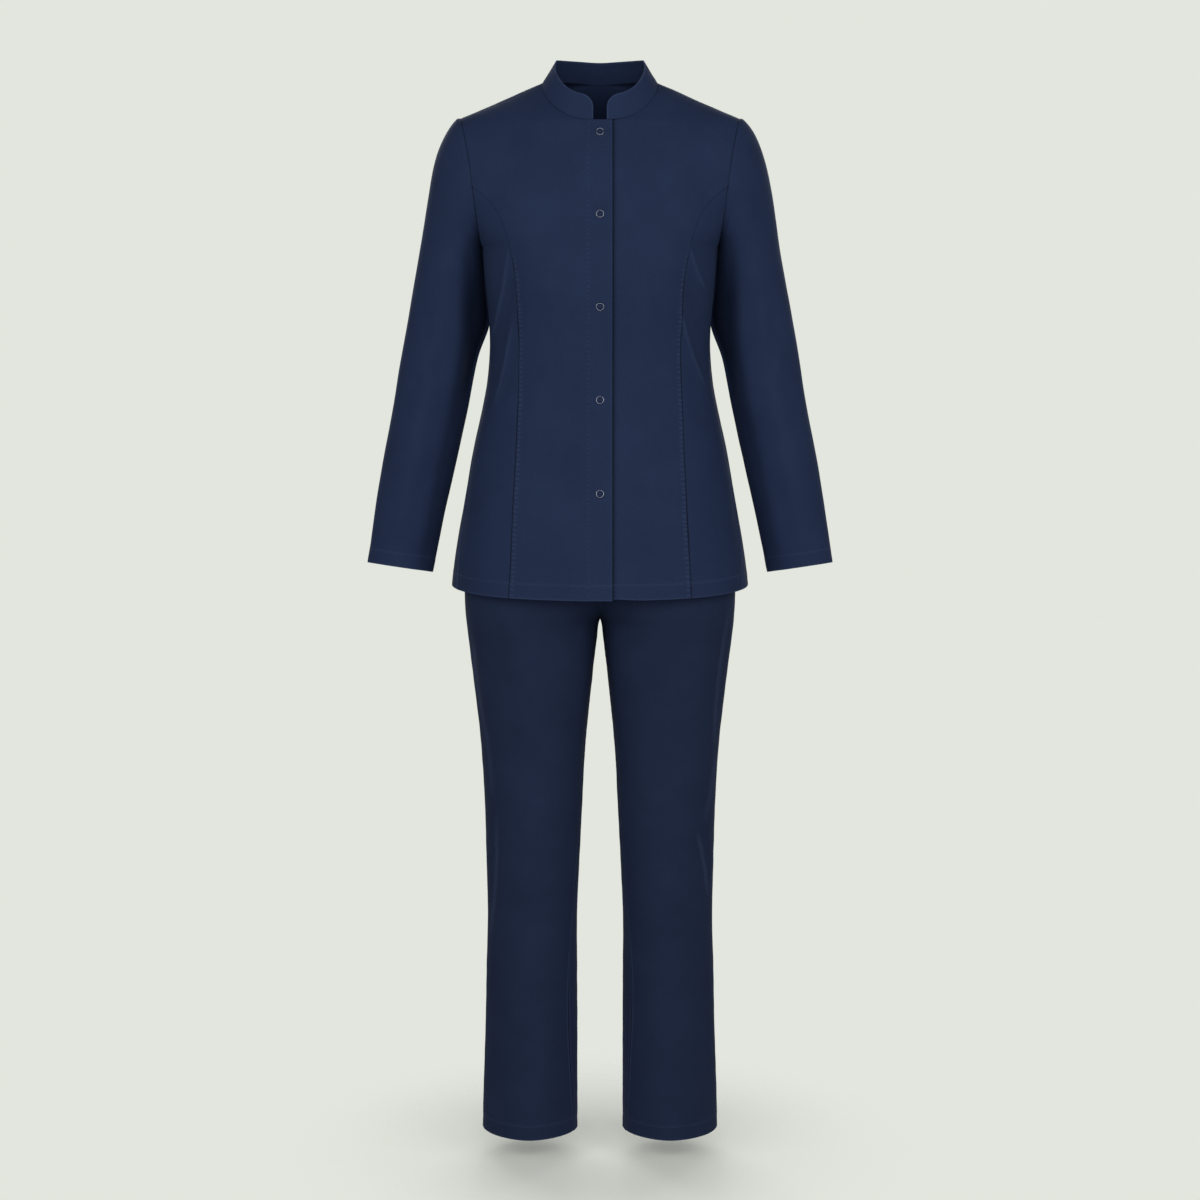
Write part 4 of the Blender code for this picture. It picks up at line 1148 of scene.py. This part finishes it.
def sleeve_piece(left, material, thread):
    """A sleeve as one tube, from the cuff up to its head, with its seam under the arm."""
    head = np.array(SEAM_STEPS)
    cuff = SLEEVE_LENGTH - np.array(HEM_STEPS)[::-1]
    body = np.linspace(head[-1], cuff[0], round((cuff[0] - head[-1]) / SLEEVE_GRID))
    alongs = np.concatenate((head[:-1], body, cuff[1:]))[::-1]
    rows = rows_at(alongs, sleeve_point, lambda v: (180.0, 540.0), SLEEVE_AROUND)
    rows[:, -1] = rows[:, 0] = (rows[:, 0] + rows[:, -1]) / 2
    off_armhole = np.cross((0.0, 1.0, 0.0), SHOULDER_TIP - ARMPIT)
    rows += off_armhole / np.linalg.norm(off_armhole) * SEAM_GAP
    out = -normals_of(rows)
    out[:, 0] = out[:, -1] = (out[:, 0] + out[:, -1]) / 2
    real = on_side(rows, left)
    seam = distance_to(rows, rows[:, 0])
    arm = alongs[:, None] + 0 * seam
    low = SLEEVE_LENGTH - arm
    height = rows[..., 2]
    forward = sleeve("mid_y", alongs)[:, None] - rows[..., 1]
    front, back = smooth(forward / 16.0), smooth(-forward / 16.0)
    relief = seam_relief(seam, 0.45) * smooth((arm - 200.0) / 60.0) + seam_relief(arm, 0.08)
    relief += 0.1 * peak(arm, 4.0, 5.0)
    gap = rows[:, 0, 0] - body_width("half_width", rows[:, 0, 2]) - SEAM_GAP
    gap = np.clip(gap, 0.0, UNDERARM_REST) * smooth((UNDERARM_END - alongs) / 50.0)
    relief += gap[:, None] * peak(seam, 34.0)  # the sleeve lies against the body under the arm
    behind = smooth((250.0 - arm) / 60.0) * smooth((arm - 15.0) / 25.0)
    relief += UNDERARM_REST * back * peak(seam, 13.0, 18.0) * behind
    relief += hem_relief(low, real, 42)
    for side, face in ((front, "front"), (back, "back")):
        relief += side * crease_relief(real, "sleeve", face)[0]
    inside = smooth(arm / 30) * smooth(low / 30) * smooth(seam / 40)
    relief += 0.55 * unevenness(real, 110.0, 43) * inside + 0.14 * unevenness(real, 34.0, 44)
    relief += 0.15 * unevenness(real, 14.0, 45) * peak(arm, 14.0)
    moved = rows + out * relief[..., None]
    off = (rows[..., 0] - armpit_fold("distance", height)) / armpit_fold("width", height)
    turned_back = np.where(off > 0.0, peak(off, 1.0), 1.0 - 0.15 * np.clip(off, -2.0, 0.0))
    turned_back *= armpit_fold("depth", height) * smooth(forward / 26.0)
    moved[..., 1] += turned_back
    across = np.stack([running_length(row) for row in rows])
    hem_row = int(np.argmin(np.abs(low[:, 0] - HEM_TURN)))
    thread.row(moved[hem_row], out[hem_row], left)
    # Paler cuff edge, partly pressing wear and partly painted highlight; painted shade in the seam lines
    # and in the deep fold beside the body
    grid = grid_of(on_side(moved, left), left, weave(across + 1200, -arm), wear=hem_wear(low, 0.5),
                   seam=0.55 * crevice(seam, arm) + 0.024 * turned_back)
    return cloth_shell(f"tunic_sleeve_{side_name(left)}", [grid], material)


def collar_piece(material):
    """The stand collar: rows of the left half from the neckline up, then mirrored."""
    ends = np.repeat(NECK_FRONT[:1], COLLAR_END_COLUMNS, axis=0)
    ends[:, 0] = np.linspace(0, 1, COLLAR_END_COLUMNS)**1.6 * (PLACKET_HALF - COLLAR_END_X) + COLLAR_END_X
    t = np.linspace(0, 1, 41)[1:]
    feet = np.concatenate((ends, bezier(NECK_FRONT, t), bezier(NECK_BACK, t)))
    places = np.concatenate((np.zeros(COLLAR_END_COLUMNS), t / 2, (1 + t) / 2))
    runs = running_length(feet)
    before = np.vstack((feet[:1], feet[:-1]))
    after = np.vstack((feet[1:], on_side(feet[-2:-1], False)))
    inward = np.stack((before[:, 1] - after[:, 1], after[:, 0] - before[:, 0], 0 * runs), axis=1)
    inward /= np.linalg.norm(inward, axis=1, keepdims=True)
    stand = inward * collar("lean", places)[:, None]
    stand[:, 2] = collar("rise", places)
    length = np.linalg.norm(stand, axis=1)
    cut = np.maximum(COLLAR_CORNER - runs, 0.0)
    height = 1.0 - (COLLAR_CORNER - np.sqrt(COLLAR_CORNER**2 - cut**2)) / length
    feet = feet + stand / length[:, None] * SEAM_GAP
    edge = np.array(COLLAR_EDGE_SHARES)
    up = np.concatenate((edge, np.linspace(0.13, 0.87, 12), 1 - edge[::-1]))[:, None]
    rows = feet + stand * (height[:, None] * up[..., None])
    rows[..., 2] += NAPE_LEVELLED * up * np.maximum(14.0 - rows[..., 0], 0.0)**2
    from_side = runs - runs[int(np.argmax(rows[-1, :, 0]))] - 9.0
    drop = peak(from_side, np.where(from_side > 0.0, 9.0, 30.0))
    rows[..., 2] -= COLLAR_SIDE_DROP * up * drop
    out = normals_of(rows)
    out[:, -1, 0] = 0.0
    foot_away = distance_to(rows, rows[0])
    top_away = distance_to(rows, np.concatenate((rows[:, 0], rows[-1])))
    grids = []
    for left in (True, False):
        real = on_side(rows, left)
        relief = seam_relief(foot_away, SEAM_FLAT) + 0.3 * smooth(top_away / 8.0) * smooth(foot_away / 8.0)
        relief += 0.12 * unevenness(real, 26.0, 51) * smooth(top_away / 3.0)
        moved = real + on_side(out, left) * relief[..., None]
        # Paler top edge, partly pressing wear and partly painted highlight, and painted shade along the
        # foot's seam
        grids.append(grid_of(moved, not left, weave((runs if left else -runs) + 2000, up * 31),
                             wear=0.7 * peak(top_away, 1.3), seam=0.2 * crevice(foot_away)))
    return cloth_shell("tunic_collar", grids, material, COLLAR_CLOTH)


# Trousers

def leg_point(height, angle, face):
    """Points of the left leg; angle runs from the outer side round to the inner."""
    turn = np.radians(angle)
    cosine, sine = np.cos(turn), np.sin(turn)
    bend = 2 / leg("power", height)
    x = leg("centre_x", height) + leg("half_width", height) * np.sign(cosine) * np.abs(cosine)**bend
    facing = -1.0 if face == "front" else 1.0
    y = facing * leg(face, height) * np.abs(sine)**bend
    points = np.stack((np.maximum(x, SEAM_GAP / 2), y, np.full_like(x, height)), axis=1)
    return folded(points, "leg", face, 0.0)


def leg_end(height, face):
    """The angle at which a piece of the leg ends: at the centre line or the inseam."""
    share = float((leg("centre_x", height) - SEAM_GAP / 2) / leg("half_width", height))
    if height > CROTCH_Z and share < 1.0:
        return 180.0 - math.degrees(math.acos(max(share, 0.0)**(leg("power", height) / 2)))
    inseam = float(leg("inseam", height))
    return inseam if face == "front" else 360.0 - inseam


def leg_round(height, angle, face):
    """Leg points whose angles may pass the inner side on to the other face."""
    other = "front" if face == "back" else "back"
    here = leg_point(height, np.minimum(angle, 180.0), face)
    there = leg_point(height, np.minimum(360.0 - angle, 180.0), other)
    return np.where(np.asarray(angle)[:, None] <= 180.0, here, there)


def leg_heights():
    hem = TROUSER_HEM_Z + np.array(HEM_STEPS)
    top = WAIST_Z - WAISTBAND_DROP - SEAM_GAP
    lower = np.linspace(hem[-1], CROTCH_Z, round((CROTCH_Z - hem[-1]) / LEG_GRID))
    rise = np.linspace(CROTCH_Z, top, round((top - CROTCH_Z) / LEG_GRID))
    return np.concatenate((hem[:-1], lower, rise[1:]))


def leg_piece(left, face, material, thread):
    rows = rows_at(leg_heights(), lambda height, t: leg_round(height, t, face),
                   lambda height: (0.0, leg_end(height, face)), LEG_ACROSS)
    out = normals_of(rows) * (1.0 if face == "front" else -1.0)
    real = on_side(rows, left)
    outer, inner, low = [distance_to(rows, line) for line in (rows[:, 0], rows[:, -1], rows[0])]
    facing = smooth(np.abs(rows[..., 1]) / 30.0)
    creased, crest = crease_relief(real, "leg", face)
    relief = seam_relief(outer, 0.6) + seam_relief(inner)
    relief += hem_relief(low, real, 62, TROUSER_HEM_TURN) + facing * creased
    relief += 0.7 * unevenness(real, 150.0, 63) * facing * smooth(low / 40)
    relief += 0.13 * unevenness(real, 36.0, 64) + 0.1 * unevenness(real, 9.0, 65) * peak(inner, 6.0)
    moved = rows + out * relief[..., None]
    thread.row(*line_in_columns(moved, out, TROUSER_HEM_TURN), left)
    # Paler crease crests, hem edge and a line beside the inseam, partly pressing wear and partly painted
    # highlight, and painted shade in the lines of both seams
    wear = 0.6 * crest + hem_wear(low, 0.15) + 0.5 * peak(inner, 1.4, 2.0)
    grain = weave(rows[..., 0] + (3000 if face == "front" else 3500), rows[..., 2])
    grid = grid_of(on_side(moved, left), (not left) != (face == "back"), grain,
                   wear=wear, seam=0.8 * crevice(outer, inner))
    return cloth_shell(f"trouser_leg_{face}_{side_name(left)}", [grid], material)


def waistband_piece(material):
    """A plain ring round the waist."""
    quarter = np.linspace(0.0, 90.0, 40)
    rows = []
    for drop in seam_places(WAISTBAND_DROP, WAISTBAND_ROWS, WAISTBAND_STEPS):
        height = WAIST_Z - WAISTBAND_DROP + drop
        front, back = [leg_point(height, quarter, face) for face in ("front", "back")]
        rows.append(np.concatenate((front[:-1], on_side(front[:0:-1], False),
                                    on_side(back[:-1], False), back[::-1])))
    rows = np.array(rows)
    rows[:, -1] = rows[:, 0]
    grain = weave(np.stack([running_length(row) for row in rows]) + 5000, rows[..., 2])
    return cloth_shell("trouser_waistband", [grid_of(rows, False, grain)], material)


# Snaps

def snap_place(height, front):
    """Centre and outward direction of a snap, on the outer front's own mesh."""
    seen = front.evaluated_get(bpy.context.evaluated_depsgraph_get())
    hits = []
    for offset in (-5.0, 0.0, 5.0):
        start = Vector((0.0, -300.0, height + offset)) * MM
        hits.append(seen.ray_cast(start, Vector((0.0, 1.0, 0.0)))[1] / MM)
    outward = Vector((1.0, 0.0, 0.0)).cross((hits[2] - hits[0]).normalized())
    return (hits[0] + hits[1] + hits[2]) / 3, outward.normalized()


def turned_piece(name, profile, place, outward, material):
    """A round piece from a profile of radius and height that is turned about its axis."""
    side = outward.orthogonal().normalized()
    other = outward.cross(side)
    points, faces = [], []
    count = len(profile)
    for n in range(SNAP_ROUND):
        turn = 2 * math.pi * n / SNAP_ROUND
        spoke = side * math.cos(turn) + other * math.sin(turn)
        points += [(place + spoke * radius + outward * height) * MM for radius, height in profile]
        here, there = n * count, (n + 1) % SNAP_ROUND * count
        for k in range(count):
            j = (k + 1) % count
            faces.append((here + k, here + j, there + j, there + k))
    return trim_piece(name, points, faces, material)


def add_snap(number, height, front, metal, cloth):
    place, outward = snap_place(height, front)
    ring = turned_piece(f"snap_ring_{number}", RING_PROFILE, place, outward, metal)
    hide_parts(f"snap_{number}")
    turned_piece(f"snap_centre_{number}", CENTRE_PROFILE, place, outward, cloth)


# Materials

def linear(code):
    """An sRGB hex colour as linear values with full opacity."""
    values = []
    for k in (0, 2, 4):
        value = int(code[k:k + 2], 16) / 255
        values.append(value / 12.92 if value <= 0.04045 else ((value + 0.055) / 1.055)**2.4)
    return (*values, 1.0)


def add_node(tree, kind, inputs, **settings):
    """A node with its settings. Each input takes a value or another node's output."""
    node = tree.nodes.new(kind)
    for name, value in settings.items():
        setattr(node, name, value)
    for name, value in inputs.items():
        if isinstance(value, bpy.types.NodeSocket):
            tree.links.new(value, node.inputs[name])
        else:
            node.inputs[name].default_value = value
    return node


def new_material(name):
    """A material with its node tree and its shader."""
    material = bpy.data.materials.new(name)
    material.use_nodes = True
    return material, material.node_tree, material.node_tree.nodes["Principled BSDF"]


def polyester_cotton_twill(name, shades):
    """A 65/35 polyester and cotton twill: matt, with fine diagonal wales and a faint bloom
    at grazing angles. Pressed edges, crease crests and thin lines beside some seams are paler,
    partly wear and partly painted highlight, the crests of the small gathers by a seam carry a
    painted highlight, and painted shade darkens the lines where it turns in at a seam, the strip
    beside the closing's edge and the deep folds by the armpits."""
    material, tree, shader = new_material(name)
    grain = add_node(tree, "ShaderNodeUVMap", {}, uv_map="grain").outputs["UV"]
    place = add_node(tree, "ShaderNodeTexCoord", {}).outputs["Object"]
    worn_and_highlit, painted_seam_shade, drawn_up = [add_node(tree, "ShaderNodeAttribute", {}, attribute_name=mark).outputs["Fac"]
                            for mark in MARKS]
    turned = add_node(tree, "ShaderNodeMapping", {"Vector": grain, "Rotation": (0.0, 0.0, WALE_ANGLE)})
    wales = add_node(tree, "ShaderNodeTexWave",
                     {"Vector": turned.outputs["Vector"], "Scale": WAVE_PERIOD / (WALE_SPACING * MM),
                      "Distortion": 0.6, "Detail": 1.0, "Detail Scale": 3.0},
                     wave_type="BANDS", bands_direction="X").outputs["Fac"]
    slub = add_node(tree, "ShaderNodeTexNoise",
                    {"Vector": grain, "Scale": 420.0, "Detail": 3.0, "Roughness": 0.6},
                    noise_dimensions="2D").outputs["Fac"]
    mottle = add_node(tree, "ShaderNodeTexNoise",
                      {"Vector": place, "Scale": 17.0, "Detail": 5.0, "Roughness": 0.6}).outputs["Fac"]
    tone = add_node(tree, "ShaderNodeMath", {0: wales, 1: 0.2}, operation="MULTIPLY").outputs[0]
    for part, share in ((slub, 0.35), (mottle, 0.62)):
        tone = add_node(tree, "ShaderNodeMath", {0: part, 1: share, 2: tone},
                        operation="MULTIPLY_ADD").outputs[0]
    rubbed_and_highlit = add_node(tree, "ShaderNodeMath", {0: worn_and_highlit, 1: slub}, operation="MULTIPLY").outputs[0]
    gathers = add_node(tree, "ShaderNodeTexWave",
                       {"Vector": place, "Scale": WAVE_PERIOD / (PUCKER_SPACING * MM),
                        "Distortion": 5.0, "Detail": 3.0, "Detail Scale": 1.5},
                       wave_type="BANDS", bands_direction="Z").outputs["Fac"]
    crests = add_node(tree, "ShaderNodeMath", {0: gathers, 1: 2.5}, operation="POWER").outputs[0]
    puckers = add_node(tree, "ShaderNodeMath", {0: crests, 1: drawn_up}, operation="MULTIPLY").outputs[0]
    # painted highlight on the crests of the gathers beside a seam
    pucker_highlight = add_node(tree, "ShaderNodeMath", {0: puckers, 1: 0.42}, operation="MULTIPLY").outputs[0]
    colour = linear(shades[0])
    # Weave and tone, then painted seam shade, paler pressed edges (partly wear, partly painted highlight),
    # and painted highlight on the gathers
    for share, shade in ((tone, shades[1]), (painted_seam_shade, PAINTED_SHADE_NAVY), (rubbed_and_highlit, WORN_AND_HIGHLIT_NAVY), (pucker_highlight, WORN_AND_HIGHLIT_NAVY)):
        colour = add_node(tree, "ShaderNodeMix", {"Factor": share, "A": colour, "B": linear(shade)},
                          data_type="RGBA").outputs["Result"]
    height = wales
    for part, share in ((slub, 0.8), (puckers, 2.0)):
        height = add_node(tree, "ShaderNodeMath", {0: part, 1: share, 2: height},
                          operation="MULTIPLY_ADD").outputs[0]
    bump = add_node(tree, "ShaderNodeBump", {"Height": height, "Strength": 0.35, "Distance": 0.12 * MM})
    tree.links.new(colour, shader.inputs["Base Color"])
    tree.links.new(bump.outputs["Normal"], shader.inputs["Normal"])
    shader.inputs["Roughness"].default_value = 0.82
    shader.inputs["Specular IOR Level"].default_value = 0.1
    shader.inputs["Sheen Weight"].default_value = 0.02
    shader.inputs["Sheen Roughness"].default_value = 0.45
    shader.inputs["Sheen Tint"].default_value = linear(BLOOM)
    return material


def spun_polyester_thread(name):
    """Spun polyester sewing thread in the cloth's colour, a touch paler and silkier."""
    material, tree, shader = new_material(name)
    place = add_node(tree, "ShaderNodeTexCoord", {}).outputs["Object"]
    twist = add_node(tree, "ShaderNodeTexNoise", {"Vector": place, "Scale": 900.0, "Detail": 2.0})
    dark, pale = [linear(shade) for shade in THREAD_NAVY]
    colour = add_node(tree, "ShaderNodeMix", {"Factor": twist.outputs["Fac"], "A": dark, "B": pale},
                      data_type="RGBA")
    tree.links.new(colour.outputs["Result"], shader.inputs["Base Color"])
    shader.inputs["Roughness"].default_value = 0.65
    shader.inputs["Specular IOR Level"].default_value = 0.2
    return material


def nickel_plated_brass(name):
    """A pressed brass ring with satin nickel plating: cool grey with soft highlights."""
    material, tree, shader = new_material(name)
    place = add_node(tree, "ShaderNodeTexCoord", {}).outputs["Object"]
    handling = add_node(tree, "ShaderNodeTexNoise", {"Vector": place, "Scale": 700.0, "Detail": 3.0})
    rough = add_node(tree, "ShaderNodeMapRange",
                     {"Value": handling.outputs["Fac"], "To Min": 0.24, "To Max": 0.36})
    tree.links.new(rough.outputs["Result"], shader.inputs["Roughness"])
    shader.inputs["Base Color"].default_value = linear(NICKEL)
    shader.inputs["Metallic"].default_value = 1.0
    return material


# Stage, light and camera

def add_camera():
    data = bpy.data.cameras.new("camera")
    data.lens = CAMERA_LENS
    data.sensor_width = CAMERA_SENSOR
    camera = new_object("camera", data)
    back = Vector((0.0, -math.cos(CAMERA_ELEVATION), math.sin(CAMERA_ELEVATION)))
    camera.location = CAMERA_TARGET + back * CAMERA_DISTANCE
    camera.rotation_euler = back.to_track_quat("Z", "Y").to_euler()
    bpy.context.scene.camera = camera


def matt_paper(name):
    """Seamless backdrop paper: pale and matt. It fades out into the even light around it."""
    material, tree, shader = new_material(name)
    shader.inputs["Base Color"].default_value = linear(PAPER)
    shader.inputs["Roughness"].default_value = 0.95
    shader.inputs["Specular IOR Level"].default_value = 0.0
    place = add_node(tree, "ShaderNodeTexCoord", {}).outputs["Object"]
    away = add_node(tree, "ShaderNodeVectorMath", {0: place}, operation="LENGTH").outputs["Value"]
    faded = add_node(tree, "ShaderNodeMapRange",
                     {"Value": away, "From Min": FLOOR_FULL, "From Max": FLOOR_EDGE,
                      "To Min": FLOOR_SHARE, "To Max": 0.0}, interpolation_type="SMOOTHSTEP")
    tree.links.new(faded.outputs["Result"], shader.inputs["Alpha"])
    return material


def add_floor():
    data = bpy.data.meshes.new("floor")
    corners = [(x * FLOOR_EDGE, y * FLOOR_EDGE, 0.0) for x, y in ((-1, -1), (1, -1), (1, 1), (-1, 1))]
    data.from_pydata(corners, [], [(0, 1, 2, 3)])
    floor = new_object("floor", data, matt_paper("matt backdrop paper"))
    floor.location.z = FLOOR_Z
    floor.visible_diffuse = False


def add_lights():
    for name, x, y, z, size, power in LIGHTS:
        data = bpy.data.lights.new(name, "AREA")
        data.shape = "SQUARE"
        data.size = size
        data.energy = power
        lamp = new_object(name, data)
        lamp.location = (x, y, z)
        lamp.rotation_euler = (LIGHTS_AIM - lamp.location).to_track_quat("-Z", "Y").to_euler()
        lamp.visible_camera = False
    world = bpy.data.worlds.new("studio")
    bpy.context.scene.world = world
    world.use_nodes = True
    tree = world.node_tree
    fill = tree.nodes["Background"]
    fill.inputs["Strength"].default_value = FILL_LIGHT
    fill.inputs["Color"].default_value = (1.0, 1.0, 1.0, 1.0)
    seen = add_node(tree, "ShaderNodeBackground", {"Color": linear(BACKDROP)})
    ray = add_node(tree, "ShaderNodeLightPath", {})
    both = add_node(tree, "ShaderNodeMixShader",
                    {0: ray.outputs["Is Camera Ray"], 1: fill.outputs[0], 2: seen.outputs[0]})
    tree.links.new(both.outputs[0], tree.nodes["World Output"].inputs["Surface"])


# Putting it together

def build():
    tunic = polyester_cotton_twill("polyester-cotton twill, tunic navy", TUNIC_NAVY)
    trousers = polyester_cotton_twill("polyester-cotton twill, trouser navy", TROUSER_NAVY)
    thread = spun_polyester_thread("spun polyester thread, navy")
    metal = nickel_plated_brass("nickel-plated brass")
    tunic_rows, trouser_rows = Thread(), Thread()
    fronts = []
    for left in (False, True):
        side = side_name(left)
        fronts.append(finished(front_piece(left, tunic, tunic_rows), f"front_{side}"))
        finished(side_front_piece(left, tunic, tunic_rows), f"side_front_{side}")
        finished(sleeve_piece(left, tunic, tunic_rows), f"sleeve_{side}")
        for face in ("front", "back"):
            piece = leg_piece(left, face, trousers, trouser_rows)
            finished(piece, f"trouser_{face}_{side}")
    finished(back_piece(tunic, tunic_rows), "back")
    finished(collar_piece(tunic), "collar")
    finished(waistband_piece(trousers), "waistband")
    tunic_rows.mesh("tunic_stitching", thread, "tunic_twill")
    trouser_rows.mesh("trouser_stitching", thread, "trouser_twill")
    for n, height in enumerate(SNAP_HEIGHTS):
        add_snap(n + 1, height, fronts[0], metal, tunic)


build()
add_floor()
add_lights()
add_camera()
bpy.context.scene.view_settings.view_transform = "Standard"
